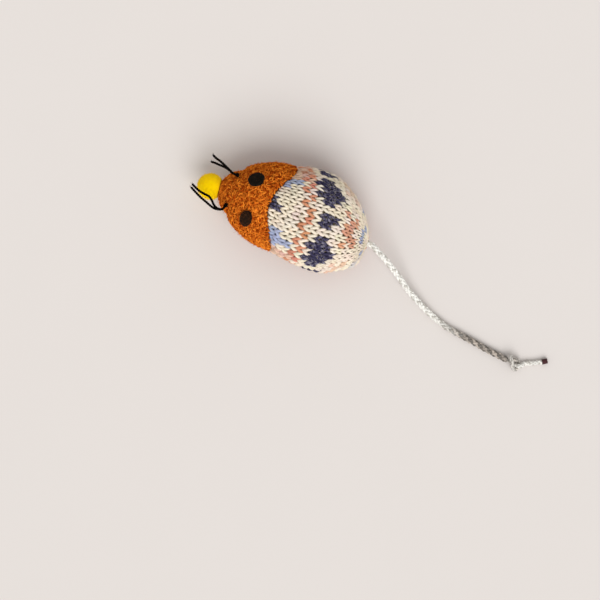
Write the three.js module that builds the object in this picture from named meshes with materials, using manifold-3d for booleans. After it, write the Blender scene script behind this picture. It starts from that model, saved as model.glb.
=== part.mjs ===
// Catnip mouse: a small sewn cat toy stuffed with fibre, lying on its belly.
// A patterned knit covers the back, a brown looped knit covers the head and the belly.
// Millimetres, +Z up, +X towards the nose, +Y to the mouse's left.
// The origin lies on the floor, on the flat of the belly under the widest section.

import * as THREE from "three";
import { mergeVertices } from "three/addons/utils/BufferGeometryUtils.js";
import Module from "manifold-3d";

const wasm = await Module();
wasm.setup();

// The stuffed form
const BODY_LENGTH = 57.9; // snout tip to rump
const SNOUT_TO_WIDEST = 37.4; // snout tip to the widest section
const BODY_WIDTH = 35.4;
const BACK_RISE = 16.1; // spine above the seam line, at the widest section
const BELLY_DEPTH = 14.9; // belly below the seam line, before it is pressed flat
const REST_FLAT = 0.5; // how much of the belly the floor presses flat
const SNOUT_DROP = 3; // how far the snout tip hangs below the widest section's axis
const RUMP_DROP = 3; // the same for the rump, where the tail leaves
const SNOUT_POWER = 0.55; // 0.5 is a round snout, more is a sharper one
const RUMP_POWER = 0.6;
const BELLY_POWER = 0.84; // 1 is a round belly, less is a squarer one
const BODY_LEAN = 1.3; // the stuffing sits to the right before the widest section, to the left behind
const LEAN_POWER = 2.5; // how far back the lean changes sides

// The sewn covers
const FABRIC = 1.6;
const NECK_TOP = 19.3; // snout tip to the neck seam, along the spine
const NECK_SIDE = 25.1; // the same at the flanks and under the chin
const NECK_SWEEP = 1.2; // how soon the seam sweeps back from the spine
const NECK_DRAW = 0.5; // how far the neck seam is pulled in
const NECK_DRAW_REACH = 4;
const FLANK_ANGLE = 1.85; // from the spine round to the seam of back and belly, radians
const SEAM_GAP = 0.95; // groove between two covers
const SEAM_THREAD = 0.35;
const CLEARANCE = 0.3; // between neighbouring pieces

// The filling
const FILL_SPLIT_RISE = 0.6; // the plane between the two wads of fibre, above the nose's height
const CATNIP_LENGTH = 18;
const CATNIP_WIDTH = 14;
const CATNIP_HEIGHT = 11;

// The face
const EYE_DIAMETER = 5.5;
const EYE_THICKNESS = 1.1;
// The middles of the glued eyes: back from the snout tip, and the angle from the spine in radians
const EYES = { left: [14, 0.6], right: [12.6, -0.49] };
const POMPOM_LENGTH = 7.9; // the thread pulls it flatter against the snout
const POMPOM_WIDTH = 10;
const POMPOM_HEIGHT = 9.4;
const NOSE_THREAD = 0.6;
const NOSE_THREAD_LENGTH = 6;
const NOSE_KNOT = 1.6;
const WHISKER_DIAMETER = 0.7;
const WHISKER_STATION = 5.8;
const WHISKER_ANGLE = 0.64;
const WHISKER_KNOT = 1.6;
const WHISKER_THREAD_DEPTH = 5; // how deep under the skin the whiskers' thread crosses the head
const WHISKER_PITCH = 1.1; // height between the two whiskers of a cheek
const WHISKER_STEPS = 14;

// The tail
const TAIL_DIAMETER = 2.4;
const TAIL_KNOT_CORD = 1.25; // the cord where the knot squeezes it
const TAIL_ANCHOR = 4.2; // the knot that holds the tail inside the rump
const TAIL_ANCHOR_LENGTH = 7;
const TAIL_OUT = 0.8; // rump to the point where the tail first flexes
const TAIL_SIDES = 10;
const TAIL_STEPS = 32;
const KNOT_PITCH = 1.7; // centre to centre of two crossing strands
const KNOT_STEPS = 72;

const AXIS_HEIGHT = BELLY_DEPTH - REST_FLAT;
const HALF_WIDTH = BODY_WIDTH / 2;
const REAR_LENGTH = BODY_LENGTH - SNOUT_TO_WIDEST;
const RUMP_X = -REAR_LENGTH;
const NOSE_HEIGHT = AXIS_HEIGHT - SNOUT_DROP;
const TAIL_HEIGHT = AXIS_HEIGHT - RUMP_DROP;
const TAIL_RADIUS = TAIL_DIAMETER / 2;
const TAIL_HOLE = TAIL_RADIUS + CLEARANCE;
const FILL_DEPTH = FABRIC + CLEARANCE;
const FILL_SPLIT = NOSE_HEIGHT + FILL_SPLIT_RISE;

// Offsets of the whiskers from their knot: forwards, outwards to the mouse's left, and up.
const WHISKERS = {
  left_upper: [
    [0.6, 1.7, 0.1], [1.7, 2.1, 0.2], [2.9, 2, 0.3], [4.2, 1.2, 0.3], [5.4, 0, 0.4],
    [6.7, -0.8, 0.5], [8.5, -1, 0.6], [10.3, -1.3, 0.6], [12, -1.9, 0.7], [13.7, -2.7, 0.8],
  ],
  left_lower: [
    [0.6, 1.7, 0], [1.9, 2.3, 0], [3.4, 2.5, 0], [4.8, 2.2, 0], [7, 1.4, 0], [9.3, 0.6, -0.1],
    [11.5, -0.4, -0.1], [13.9, -1.6, -0.2],
  ],
  right_upper: [
    [1.9, -0.1, 0.1], [3.3, -0.7, 0.2], [4.9, -1.4, 0.4], [7.5, -2.4, 0.5], [9.3, -2.9, 0.7],
    [10.6, -3.5, 0.8],
  ],
  right_lower: [
    [1.8, 0, 0], [3.3, -0.6, 0], [5.1, -1, 0], [7.5, -1.1, 0], [9, -1.2, -0.1], [10.4, -1.1, -0.1],
  ],
};

// The tail's centre line: back from the rump, to the left, and its share of the rump's height.
const TAIL_STUB_ROUTE = [[2.3, 0.55, 1], [4.4, 1.55, 0.98]];
const TAIL_ROUTE = [
  [7.4, 3, 0.9], [10.8, 4.9, 0.76], [14.8, 7.25, 0.57], [18.9, 10, 0.37], [23.5, 12.45, 0.2],
  [28.4, 14.75, 0.09], [33, 16.5, 0.03], [38.6, 18.05, 0], [43.9, 18.75, 0], [49.2, 19.45, 0],
  [54.5, 20.25, 0], [59.7, 20.8, 0.03], [62.2, 21.05, 0.08],
];
// Half of the knot's centre line in steps of its pitch: along the cord, across it, and up.
// The other half is this one turned half round, with across and up changing places.
const KNOT_HALF = [
  [-1.45, 0, 0], [-0.65, -0.2, 0.1], [-0.15, -0.75, 0.1], [0.5, -0.95, -0.4], [1, -0.6, -0.85],
  [1.2, 0.15, -1.05], [1.1, 0.9, -0.75], [0.65, 1.2, -0.2],
];
const KNOT_MIDDLE = [0, 0.75, 0.75];
// The free end beyond the knot: back from the rump, and to the left.
const TAIL_END_ROUTE = [[68.9, 19.9], [71.2, 18.95], [74.4, 17.25], [76.1, 16.15]];

function neckStation(phi) {
  const turn = Math.acos(Math.cos(phi));
  const swept = Math.sin(Math.min(NECK_SWEEP * turn, Math.PI / 2)) ** 2;
  return NECK_TOP + (NECK_SIDE - NECK_TOP) * swept;
}

// A point of the stuffed form: its distance back from the snout tip, and its angle from the spine.
function surface(station, phi) {
  const ahead = station < SNOUT_TO_WIDEST;
  const share = ahead ? station / SNOUT_TO_WIDEST : (station - SNOUT_TO_WIDEST) / REAR_LENGTH;
  const swell = ahead ? (share * (2 - share)) ** SNOUT_POWER : (1 - share * share) ** RUMP_POWER;
  const drop = ahead ? SNOUT_DROP * (1 - share) ** 2 : RUMP_DROP * share ** 2;
  const off = (station - neckStation(phi)) / NECK_DRAW_REACH;
  const draw = NECK_DRAW * Math.exp(-off * off);
  const half = swell * HALF_WIDTH - draw;
  const across = Math.sin(phi);
  const up = Math.cos(phi);
  const axis = AXIS_HEIGHT - drop;
  const x = SNOUT_TO_WIDEST - station;
  const lean = -BODY_LEAN * Math.sin(2 * Math.PI * (station / BODY_LENGTH) ** LEAN_POWER);
  if (up >= 0) {
    return new THREE.Vector3(x, lean + half * across, axis + (swell * BACK_RISE - draw) * up);
  }
  const wide = Math.sign(across) * Math.abs(across) ** BELLY_POWER;
  const deep = Math.abs(up) ** BELLY_POWER;
  const low = axis - (swell * BELLY_DEPTH - draw) * deep;
  return new THREE.Vector3(x, lean + half * wide, Math.max(low, 0));
}

function outward(station, phi) {
  const step = 1e-3;
  const back = surface(station + step, phi).sub(surface(station - step, phi));
  const round = surface(station, phi + step).sub(surface(station, phi - step));
  return round.cross(back).normalize();
}

// A point that lies a given depth under the stuffed form's skin.
function skin(station, phi, depth) {
  return surface(station, phi).addScaledVector(outward(station, phi), -depth);
}

// The station near an end of the form where its section has a given half width.
function snoutStation(half) {
  return SNOUT_TO_WIDEST * (1 - Math.sqrt(1 - (half / HALF_WIDTH) ** (1 / SNOUT_POWER)));
}

function rumpStation(half) {
  return SNOUT_TO_WIDEST + REAR_LENGTH * Math.sqrt(1 - (half / HALF_WIDTH) ** (1 / RUMP_POWER));
}

function sectionHalf(station) {
  return Math.abs(surface(station, Math.PI / 2).y);
}

function seamAngle(station) {
  return SEAM_GAP / 2 / sectionHalf(station);
}

function geometryFrom(points, index) {
  const geometry = new THREE.BufferGeometry().setFromPoints(points);
  geometry.setIndex(index);
  return geometry;
}

// A cover: the skin and a second skin under it by the fabric's thickness, closed along its edges.
function cover(place, across, along, ring) {
  const columns = ring ? across : across + 1;
  const layer = columns * (along + 1);
  const points = [];
  for (const depth of [0, FABRIC]) {
    for (let j = 0; j <= along; j += 1) {
      for (let i = 0; i < columns; i += 1) {
        const [station, phi] = place(i / across, j / along);
        points.push(skin(station, phi, depth));
      }
    }
  }
  const at = (i, j) => j * columns + (i % columns);
  const index = [];
  const quad = (a, b, c, d) => index.push(a, b, c, a, c, d);
  for (let j = 0; j < along; j += 1) {
    for (let i = 0; i < across; i += 1) {
      const [a, b, c, d] = [at(i, j), at(i + 1, j), at(i + 1, j + 1), at(i, j + 1)];
      quad(a, b, c, d);
      quad(layer + a, layer + d, layer + c, layer + b);
    }
  }
  for (let i = 0; i < across; i += 1) {
    const [a, b] = [at(i, 0), at(i + 1, 0)];
    quad(b, a, layer + a, layer + b);
    const [d, c] = [at(i, along), at(i + 1, along)];
    quad(d, c, layer + c, layer + d);
  }
  if (!ring) {
    for (let j = 0; j < along; j += 1) {
      const [a, d] = [at(0, j), at(0, j + 1)];
      quad(a, d, layer + d, layer + a);
      const [b, c] = [at(across, j), at(across, j + 1)];
      quad(c, b, layer + b, layer + c);
    }
  }
  return geometryFrom(points, index);
}

// A solid of rings laid one after the other, with a flat cap at each end.
function rings(rows) {
  const columns = rows[0].length;
  const points = rows.flat();
  const middle = (row) => row.reduce((sum, p) => sum.add(p), new THREE.Vector3()).divideScalar(columns);
  const first = points.push(middle(rows[0])) - 1;
  const last = points.push(middle(rows[rows.length - 1])) - 1;
  const index = [];
  for (let i = 0; i < columns; i += 1) {
    const next = (i + 1) % columns;
    for (let j = 0; j + 1 < rows.length; j += 1) {
      const [a, b] = [j * columns + i, j * columns + next];
      index.push(a, b, b + columns, a, b + columns, a + columns);
    }
    const end = (rows.length - 1) * columns;
    index.push(first, next, i, last, end + i, end + next);
  }
  return geometryFrom(points, index);
}

function roundSection(radius, sides) {
  const corners = [];
  for (let i = 0; i < sides; i += 1) {
    const turn = ((i + 0.5) / sides) * 2 * Math.PI;
    corners.push(new THREE.Vector2(radius * Math.cos(turn), radius * Math.sin(turn)));
  }
  return new THREE.Shape(corners);
}

function tube(points, diameter, sides, steps) {
  const extrudePath = new THREE.CatmullRomCurve3(points, false, "centripetal");
  return new THREE.ExtrudeGeometry(roundSection(diameter / 2, sides), { steps, extrudePath });
}

function rod(from, to, diameter, sides = 8) {
  const geometry = new THREE.CylinderGeometry(diameter / 2, diameter / 2, from.distanceTo(to), sides);
  const along = to.clone().sub(from).normalize();
  geometry.applyQuaternion(new THREE.Quaternion().setFromUnitVectors(new THREE.Vector3(0, 1, 0), along));
  geometry.translate(...from.clone().add(to).divideScalar(2).toArray());
  return geometry;
}

function ball(centre, diameter, sides = 12) {
  const geometry = new THREE.SphereGeometry(diameter / 2, sides, Math.ceil(sides * 0.6));
  geometry.translate(...centre.toArray());
  return geometry;
}

function toSolid(geometry) {
  const plain = geometry.clone();
  plain.deleteAttribute("normal");
  plain.deleteAttribute("uv");
  const merged = mergeVertices(plain, 1e-4);
  const vertProperties = new Float32Array(merged.attributes.position.array);
  const triVerts = new Uint32Array(merged.index.array);
  return new wasm.Manifold(new wasm.Mesh({ numProp: 3, vertProperties, triVerts }));
}

function toGeometry(solid) {
  const { numProp, vertProperties, triVerts } = solid.getMesh();
  const points = [];
  for (let i = 0; i < vertProperties.length; i += numProp) {
    points.push(new THREE.Vector3(vertProperties[i], vertProperties[i + 1], vertProperties[i + 2]));
  }
  return geometryFrom(points, Array.from(triVerts));
}

function cut(geometry, tools) {
  return toGeometry(tools.reduce((solid, tool) => solid.subtract(toSolid(tool)), toSolid(geometry)));
}

function join(first, second) {
  return toGeometry(toSolid(first).add(toSolid(second)));
}

// Where the loose pieces meet the form
const nosePivot = new THREE.Vector3(SNOUT_TO_WIDEST, 0, NOSE_HEIGHT);
const pompomCentre = nosePivot.clone();
pompomCentre.x += CLEARANCE + POMPOM_LENGTH / 2;
const noseThreadTip = nosePivot.clone();
const noseThreadRoot = nosePivot.clone();
noseThreadRoot.x -= NOSE_THREAD_LENGTH;
const whiskerHeight = WHISKER_KNOT / 2 + CLEARANCE;
const whiskerKnots = {
  left: skin(WHISKER_STATION, WHISKER_ANGLE, -whiskerHeight),
  right: skin(WHISKER_STATION, -WHISKER_ANGLE, -whiskerHeight),
};
const tailPivot = new THREE.Vector3(RUMP_X - TAIL_OUT, 0, TAIL_HEIGHT);
const anchorCentre = new THREE.Vector3(RUMP_X + TAIL_ANCHOR_LENGTH, 0, TAIL_HEIGHT);
const anchorTip = tailPivot.clone();
anchorTip.x += TAIL_RADIUS + CLEARANCE;

function tailPoint([back, left, share]) {
  return new THREE.Vector3(RUMP_X - back, left, TAIL_RADIUS + share * (TAIL_HEIGHT - TAIL_RADIUS));
}

const stubRoute = [tailPivot, ...TAIL_STUB_ROUTE.map(tailPoint)];
const liftPivot = stubRoute[stubRoute.length - 1].clone();
const stubAlong = liftPivot.clone().sub(stubRoute[stubRoute.length - 2]).normalize();
liftPivot.addScaledVector(stubAlong, TAIL_RADIUS + CLEARANCE);
const tailRoute = [liftPivot, ...TAIL_ROUTE.map(tailPoint)];

const knotRadius = TAIL_KNOT_CORD / 2;
const cordEnd = tailRoute[tailRoute.length - 1];
const cordAlong = cordEnd.clone().sub(tailRoute[tailRoute.length - 2]).setZ(0).normalize();
const cordAside = new THREE.Vector3(cordAlong.y, -cordAlong.x, 0);
const knotOtherHalf = KNOT_HALF.map(([along, aside, up]) => [-along, up, aside]).reverse();
const knotSteps = [...KNOT_HALF, KNOT_MIDDLE, ...knotOtherHalf];
const knotLowest = Math.min(...knotSteps.map(([, , up]) => up));
const knotCentre = cordEnd.clone().setZ(knotRadius * 1.1 - knotLowest * KNOT_PITCH);
knotCentre.addScaledVector(cordAlong, CLEARANCE - KNOT_HALF[0][0] * KNOT_PITCH);
const knotRoute = knotSteps.map(([along, aside, up]) => {
  const point = knotCentre.clone().addScaledVector(cordAlong, along * KNOT_PITCH);
  point.addScaledVector(cordAside, aside * KNOT_PITCH);
  point.z += up * KNOT_PITCH;
  return point;
});
for (const [back, left] of TAIL_END_ROUTE) {
  knotRoute.push(new THREE.Vector3(RUMP_X - back, left, knotRadius));
}

// The least gap of the knotted cord to itself, between stretches more than two diameters apart.
function leastGap(points, diameter) {
  const path = new THREE.CatmullRomCurve3(points, false, "centripetal").getSpacedPoints(240);
  let travelled = 0;
  const lengths = path.map((p, i) => {
    travelled += i ? p.distanceTo(path[i - 1]) : 0;
    return travelled;
  });
  let least = Infinity;
  path.forEach((p, i) => path.forEach((q, j) => {
    if (lengths[j] - lengths[i] > 2.2 * diameter) least = Math.min(least, p.distanceTo(q));
  }));
  return least - diameter;
}
console.log(`least gap of the knotted tail to itself ${leastGap(knotRoute, TAIL_KNOT_CORD).toFixed(2)} mm`);

// Holes that the threads and the tail pass through
const whiskerDepths = [-whiskerHeight, WHISKER_THREAD_DEPTH * 0.5, WHISKER_THREAD_DEPTH];
const whiskerDive = (side, depths) => depths.map((d) => skin(WHISKER_STATION, side * WHISKER_ANGLE, d));
const whiskerCrossing = (depths) => [...whiskerDive(1, depths), ...whiskerDive(-1, depths).reverse()];
const tunnelWidth = WHISKER_DIAMETER + 2 * CLEARANCE;
const whiskerTunnel = tube(whiskerCrossing(whiskerDepths), tunnelWidth, 8, 28);
const noseTunnelFrom = noseThreadRoot.clone();
const noseTunnelTo = noseThreadTip.clone();
noseTunnelTo.x += FABRIC;
const noseTunnel = rod(noseTunnelFrom, noseTunnelTo, NOSE_THREAD + 2 * CLEARANCE, 10);
const tailTunnelTo = tailPivot.clone();
tailTunnelTo.x -= FABRIC;
const tailTunnel = rod(anchorCentre, tailTunnelTo, 2 * TAIL_HOLE, 16);

function wad(length, width, height, centre, extra) {
  const geometry = new THREE.SphereGeometry(1, 20, 14);
  geometry.scale(length / 2 + extra, width / 2 + extra, height / 2 + extra);
  geometry.translate(...centre.toArray());
  return geometry;
}

const catnipBack = anchorCentre.x + TAIL_ANCHOR / 2 + 3 * CLEARANCE;
const catnipCentre = new THREE.Vector3(catnipBack + CATNIP_LENGTH / 2, 0, FILL_SPLIT);
const fillTools = [
  wad(CATNIP_LENGTH, CATNIP_WIDTH, CATNIP_HEIGHT, catnipCentre, CLEARANCE),
  whiskerTunnel,
  noseTunnel,
  ball(noseThreadRoot, NOSE_KNOT + 2 * CLEARANCE),
  tailTunnel,
  ball(anchorCentre, TAIL_ANCHOR + 2 * CLEARANCE, 16),
];

function fillForm() {
  const from = snoutStation(1);
  const to = rumpStation(1);
  const rows = [];
  for (let j = 0; j <= 16; j += 1) {
    const share = (1 - Math.cos((j / 16) * Math.PI)) / 2;
    const row = [];
    for (let i = 0; i < 26; i += 1) {
      row.push(skin(from + (to - from) * share, (i / 26) * 2 * Math.PI, FILL_DEPTH));
    }
    rows.push(row);
  }
  return rings(rows);
}

function halfSpace(from, to) {
  const geometry = new THREE.BoxGeometry(3 * BODY_LENGTH, 3 * BODY_WIDTH, to - from);
  geometry.translate(0, 0, (from + to) / 2);
  return geometry;
}

function fillHalf(from, to) {
  return cut(toGeometry(toSolid(fillForm()).intersect(toSolid(halfSpace(from, to)))), fillTools);
}

// A felt disc that follows the head's curve.
function eye(side) {
  const [middle, phi] = EYES[side];
  const step = 1e-3;
  const alongSize = surface(middle + step, phi).distanceTo(surface(middle - step, phi));
  const roundSize = surface(middle, phi + step).distanceTo(surface(middle, phi - step));
  const ring = (radius, depth) => {
    const row = [];
    for (let i = 0; i < 18; i += 1) {
      const turn = (i / 18) * 2 * Math.PI;
      const station = middle - radius * Math.cos(turn) * 2 * step / alongSize;
      row.push(skin(station, phi + radius * Math.sin(turn) * 2 * step / roundSize, depth));
    }
    return row;
  };
  const radius = EYE_DIAMETER / 2;
  const top = CLEARANCE + EYE_THICKNESS;
  return rings([
    ring(radius * 0.1, -CLEARANCE),
    ring(radius * 0.9, -CLEARANCE),
    ring(radius, -CLEARANCE - EYE_THICKNESS * 0.35),
    ring(radius * 0.88, -top + EYE_THICKNESS * 0.2),
    ring(radius * 0.5, -top),
    ring(radius * 0.1, -top),
  ]);
}

function seamThread(stations, steps) {
  return tube(stations.map(([station, phi]) => skin(station, phi, FABRIC / 2)), SEAM_THREAD, 6, steps);
}

function neckThread() {
  const stations = [];
  const spare = (SEAM_THREAD + 2 * CLEARANCE) / HALF_WIDTH;
  for (let i = 0; i <= 28; i += 1) {
    const phi = Math.PI + spare / 2 + (i / 28) * (2 * Math.PI - spare);
    stations.push([neckStation(phi), phi]);
  }
  return seamThread(stations, 56);
}

function flankThread(side) {
  const from = NECK_SIDE + SEAM_THREAD + CLEARANCE;
  const to = rumpStation(TAIL_HOLE + 1);
  const stations = [];
  for (let i = 0; i <= 12; i += 1) {
    const share = Math.sin((i / 12) * Math.PI / 2);
    stations.push([from + (to - from) * share, side * FLANK_ANGLE]);
  }
  return seamThread(stations, 24);
}

function whisker(name) {
  const [side, row] = name.split("_");
  const root = whiskerKnots[side].clone();
  root.z += (row === "upper" ? 0.5 : -0.5) * WHISKER_PITCH;
  const points = WHISKERS[name].map(([ahead, left, up]) => (
    new THREE.Vector3(root.x + ahead, root.y + left, root.z + up)
  ));
  const start = root.clone();
  const lead = points[0].clone().sub(root).normalize();
  start.addScaledVector(lead, WHISKER_KNOT / 2 + CLEARANCE);
  return tube([start, ...points], WHISKER_DIAMETER, 6, WHISKER_STEPS);
}

const rumpEnd = rumpStation(TAIL_HOLE * 0.6);
const easeOut = (v) => 1 - (1 - v) ** 1.7;

const backPlace = (u, v) => {
  const turn = 2 * u - 1;
  const from = neckStation(turn * FLANK_ANGLE) + SEAM_GAP / 2;
  const station = from + (rumpEnd - from) * easeOut(v);
  return [station, turn * (FLANK_ANGLE - seamAngle(station))];
};
const bellyPlace = (u, v) => {
  const turn = 2 * u - 1;
  const from = NECK_SIDE + SEAM_GAP / 2;
  const station = from + (rumpEnd - from) * easeOut(v);
  return [station, Math.PI + turn * (Math.PI - FLANK_ANGLE - seamAngle(station))];
};
const headPlace = (u, v) => {
  const phi = 2 * Math.PI * u;
  const from = snoutStation(NOSE_THREAD);
  return [from + (neckStation(phi) - SEAM_GAP / 2 - from) * v ** 1.8, phi];
};

const KNIT = { color: 0xe8dac6, roughness: 0.95 };
const BROWN = { color: 0xb06018, roughness: 0.95 };
const FIBRE = { color: 0xf1efe8, roughness: 1 };
const CATNIP = { color: 0x77804a, roughness: 1 };
const FELT = { color: 0x191712, roughness: 1 };
const YELLOW = { color: 0xf4cc03, roughness: 0.95 };
const BLACK_THREAD = { color: 0x15130f, roughness: 0.8 };
const BROWN_THREAD = { color: 0x5a3212, roughness: 0.8 };
const SILVER_CORD = { color: 0xa8a49a, roughness: 0.55 };

const mouse = new THREE.Group();
mouse.name = "catnip_mouse";

function piece(name, geometry, finish) {
  const mesh = new THREE.Mesh(geometry, new THREE.MeshStandardMaterial(finish));
  mesh.name = name;
  mouse.add(mesh);
}

piece("back_panel", cut(cover(backPlace, 26, 14, false), [tailTunnel]), KNIT);
piece("belly_panel", cut(cover(bellyPlace, 18, 14, false), [tailTunnel]), BROWN);
piece("head_panel", cut(cover(headPlace, 30, 10, true), [whiskerTunnel, noseTunnel]), BROWN);
piece("fibre_fill_upper", fillHalf(FILL_SPLIT + CLEARANCE / 2, 3 * BODY_WIDTH), FIBRE);
piece("fibre_fill_lower", fillHalf(-BODY_WIDTH, FILL_SPLIT - CLEARANCE / 2), FIBRE);
piece("catnip_wad", wad(CATNIP_LENGTH, CATNIP_WIDTH, CATNIP_HEIGHT, catnipCentre, 0), CATNIP);
piece("neck_seam_thread", neckThread(), BROWN_THREAD);
piece("flank_seam_thread_left", flankThread(1), BROWN_THREAD);
piece("flank_seam_thread_right", flankThread(-1), BROWN_THREAD);
piece("eye_left", eye("left"), FELT);
piece("eye_right", eye("right"), FELT);
piece("nose_pompom", wad(POMPOM_LENGTH, POMPOM_WIDTH, POMPOM_HEIGHT, pompomCentre, 0), YELLOW);
const noseRod = rod(noseThreadRoot, noseThreadTip, NOSE_THREAD);
piece("nose_tie_thread", join(noseRod, ball(noseThreadRoot, NOSE_KNOT)), BLACK_THREAD);

whiskerDepths[0] = 0;
piece("whisker_cross_thread", tube(whiskerCrossing(whiskerDepths), WHISKER_DIAMETER, 6, 24), BLACK_THREAD);
piece("whisker_knot_left", ball(whiskerKnots.left, WHISKER_KNOT), BLACK_THREAD);
piece("whisker_knot_right", ball(whiskerKnots.right, WHISKER_KNOT), BLACK_THREAD);
for (const name of Object.keys(WHISKERS)) {
  piece(`whisker_${name}`, whisker(name), BLACK_THREAD);
}

const anchorRod = rod(anchorCentre, anchorTip, TAIL_DIAMETER, TAIL_SIDES);
piece("tail_anchor", join(anchorRod, ball(anchorCentre, TAIL_ANCHOR, 14)), SILVER_CORD);
const stubTube = tube(stubRoute, TAIL_DIAMETER, TAIL_SIDES, 4);
piece("tail_stub", join(stubTube, ball(tailPivot, TAIL_DIAMETER, TAIL_SIDES)), SILVER_CORD);
const tailTube = tube(tailRoute, TAIL_DIAMETER, TAIL_SIDES, TAIL_STEPS);
piece("tail_cord", join(tailTube, ball(liftPivot, TAIL_DIAMETER, TAIL_SIDES)), SILVER_CORD);
piece("tail_knot", tube(knotRoute, TAIL_KNOT_CORD, 8, KNOT_STEPS), SILVER_CORD);

export default mouse;
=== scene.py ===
"""Catnip mouse: the knitted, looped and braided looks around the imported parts.

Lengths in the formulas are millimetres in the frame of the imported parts, +X towards the nose and
+Z up. Meshes are written in metres.
"""

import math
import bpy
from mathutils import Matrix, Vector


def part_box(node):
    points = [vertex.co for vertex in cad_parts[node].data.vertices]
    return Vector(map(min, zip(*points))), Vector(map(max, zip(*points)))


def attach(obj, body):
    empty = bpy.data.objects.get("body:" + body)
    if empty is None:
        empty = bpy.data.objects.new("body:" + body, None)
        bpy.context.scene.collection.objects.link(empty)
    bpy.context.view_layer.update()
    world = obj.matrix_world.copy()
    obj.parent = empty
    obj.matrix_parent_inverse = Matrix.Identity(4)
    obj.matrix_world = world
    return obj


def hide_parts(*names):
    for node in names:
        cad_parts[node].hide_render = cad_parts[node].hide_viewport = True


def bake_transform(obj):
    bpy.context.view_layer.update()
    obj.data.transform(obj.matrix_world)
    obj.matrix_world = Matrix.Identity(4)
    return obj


bl_info = {
    "name": "Catnip Mouse",
    "version": (1, 0, 0),
    "blender": (4, 5, 0),
    "location": "View3D > Sidebar > Catnip Mouse",
    "description": "A sewn and stuffed toy mouse with a knitted back, a pompom nose and a cord tail",
    "category": "Object",
}

import bpy
import numpy as np
from bpy.props import FloatProperty, FloatVectorProperty, IntProperty, PointerProperty
from bpy.types import Operator, Panel, PropertyGroup
from mathutils import Matrix, Vector

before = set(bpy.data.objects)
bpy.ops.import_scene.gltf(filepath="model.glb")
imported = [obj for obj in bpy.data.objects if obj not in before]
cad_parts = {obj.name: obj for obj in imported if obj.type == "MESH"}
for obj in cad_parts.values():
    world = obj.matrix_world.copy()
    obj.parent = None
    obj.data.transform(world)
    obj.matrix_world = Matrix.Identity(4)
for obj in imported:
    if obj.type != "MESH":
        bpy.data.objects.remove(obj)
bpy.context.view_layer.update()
MM = 0.001

# The stuffed form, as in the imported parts
BODY_LENGTH, SNOUT_TO_WIDEST, HALF_WIDTH = 57.9, 37.4, 17.7
BODY_LEAN, LEAN_POWER = 1.3, 2.5
BACK_RISE, BELLY_DEPTH, AXIS_HEIGHT = 16.1, 14.9, 14.4
SNOUT_DROP, RUMP_DROP, SNOUT_POWER, RUMP_POWER, BELLY_POWER = 3.0, 3.0, 0.55, 0.6, 0.84
NECK_TOP, NECK_SIDE, NECK_SWEEP, NECK_DRAW, NECK_DRAW_REACH = 19.3, 25.1, 1.2, 0.5, 4.0
FLANK_ANGLE = 1.85
REAR_LENGTH = BODY_LENGTH - SNOUT_TO_WIDEST
RUMP_X, NOSE_HEIGHT = -REAR_LENGTH, AXIS_HEIGHT - SNOUT_DROP

# Routes of the loose pieces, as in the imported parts
WHISKER_STATION, WHISKER_ANGLE, WHISKER_RISE, WHISKER_PITCH = 5.8, 0.64, 1.1, 1.1
WHISKERS = {
    "left_upper": [[0.6, 1.7, 0.1], [1.7, 2.1, 0.2], [2.9, 2, 0.3], [4.2, 1.2, 0.3], [5.4, 0, 0.4],
                   [6.7, -0.8, 0.5], [8.5, -1, 0.6], [10.3, -1.3, 0.6], [12, -1.9, 0.7],
                   [13.7, -2.7, 0.8]],
    "left_lower": [[0.6, 1.7, 0], [1.9, 2.3, 0], [3.4, 2.5, 0], [4.8, 2.2, 0], [7, 1.4, 0],
                   [9.3, 0.6, -0.1], [11.5, -0.4, -0.1], [13.9, -1.6, -0.2]],
    "right_upper": [[1.9, -0.1, 0.1], [3.3, -0.7, 0.2], [4.9, -1.4, 0.4], [7.5, -2.4, 0.5],
                    [9.3, -2.9, 0.7], [10.6, -3.5, 0.8]],
    "right_lower": [[1.8, 0, 0], [3.3, -0.6, 0], [5.1, -1, 0], [7.5, -1.1, 0], [9, -1.2, -0.1],
                    [10.4, -1.1, -0.1]],
}
EYES = {"left": (14.0, 0.6), "right": (12.6, -0.49)}
# Each eye's length along and across the head over its diameter, and how brown its felt is
EYE_CUT = {"left": (0.84, 1.13, 0.7), "right": (1.09, 0.98, 0.1)}
TAIL_STUB_ROUTE = [[2.3, 0.55, 1], [4.4, 1.55, 0.98]]
TAIL_ROUTE = [[7.4, 3, 0.9], [10.8, 4.9, 0.76], [14.8, 7.25, 0.57], [18.9, 10, 0.37],
              [23.5, 12.45, 0.2], [28.4, 14.75, 0.09], [33, 16.5, 0.03], [38.6, 18.05, 0],
              [43.9, 18.75, 0], [49.2, 19.45, 0], [54.5, 20.25, 0], [59.7, 20.8, 0.03],
              [62.2, 21.05, 0.08]]
KNOT_HALF = [[-1.45, 0, 0], [-0.65, -0.2, 0.1], [-0.15, -0.75, 0.1], [0.5, -0.95, -0.4],
             [1, -0.6, -0.85], [1.2, 0.15, -1.05], [1.1, 0.9, -0.75], [0.65, 1.2, -0.2]]
TAIL_END_ROUTE = [[68.9, 19.9], [71.2, 18.95], [74.4, 17.25], [76.1, 16.15]]
TAIL_RADIUS, KNOT_RADIUS, KNOT_PITCH, CLEARANCE, TAIL_OUT = 1.2, 0.625, 1.7, 0.3, 0.8

# A small step along the form or round it, and the least gap over the floor
STEP, FLOOR_GAP = 1e-3, 0.02

# Where round the right cheek the neck seam is drawn forward, over what angle and how far
CHEEK_ANGLE, CHEEK_SPREAD, CHEEK_DRAW = 1.55, 0.38, 2.5

# How the whiskers' crossing thread draws in the cheeks
CINCH_DEPTH, CINCH_LENGTH, CINCH_ANGLE, CINCH_SPREAD = 1.0, 1.6, 1.3, 0.6

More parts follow.
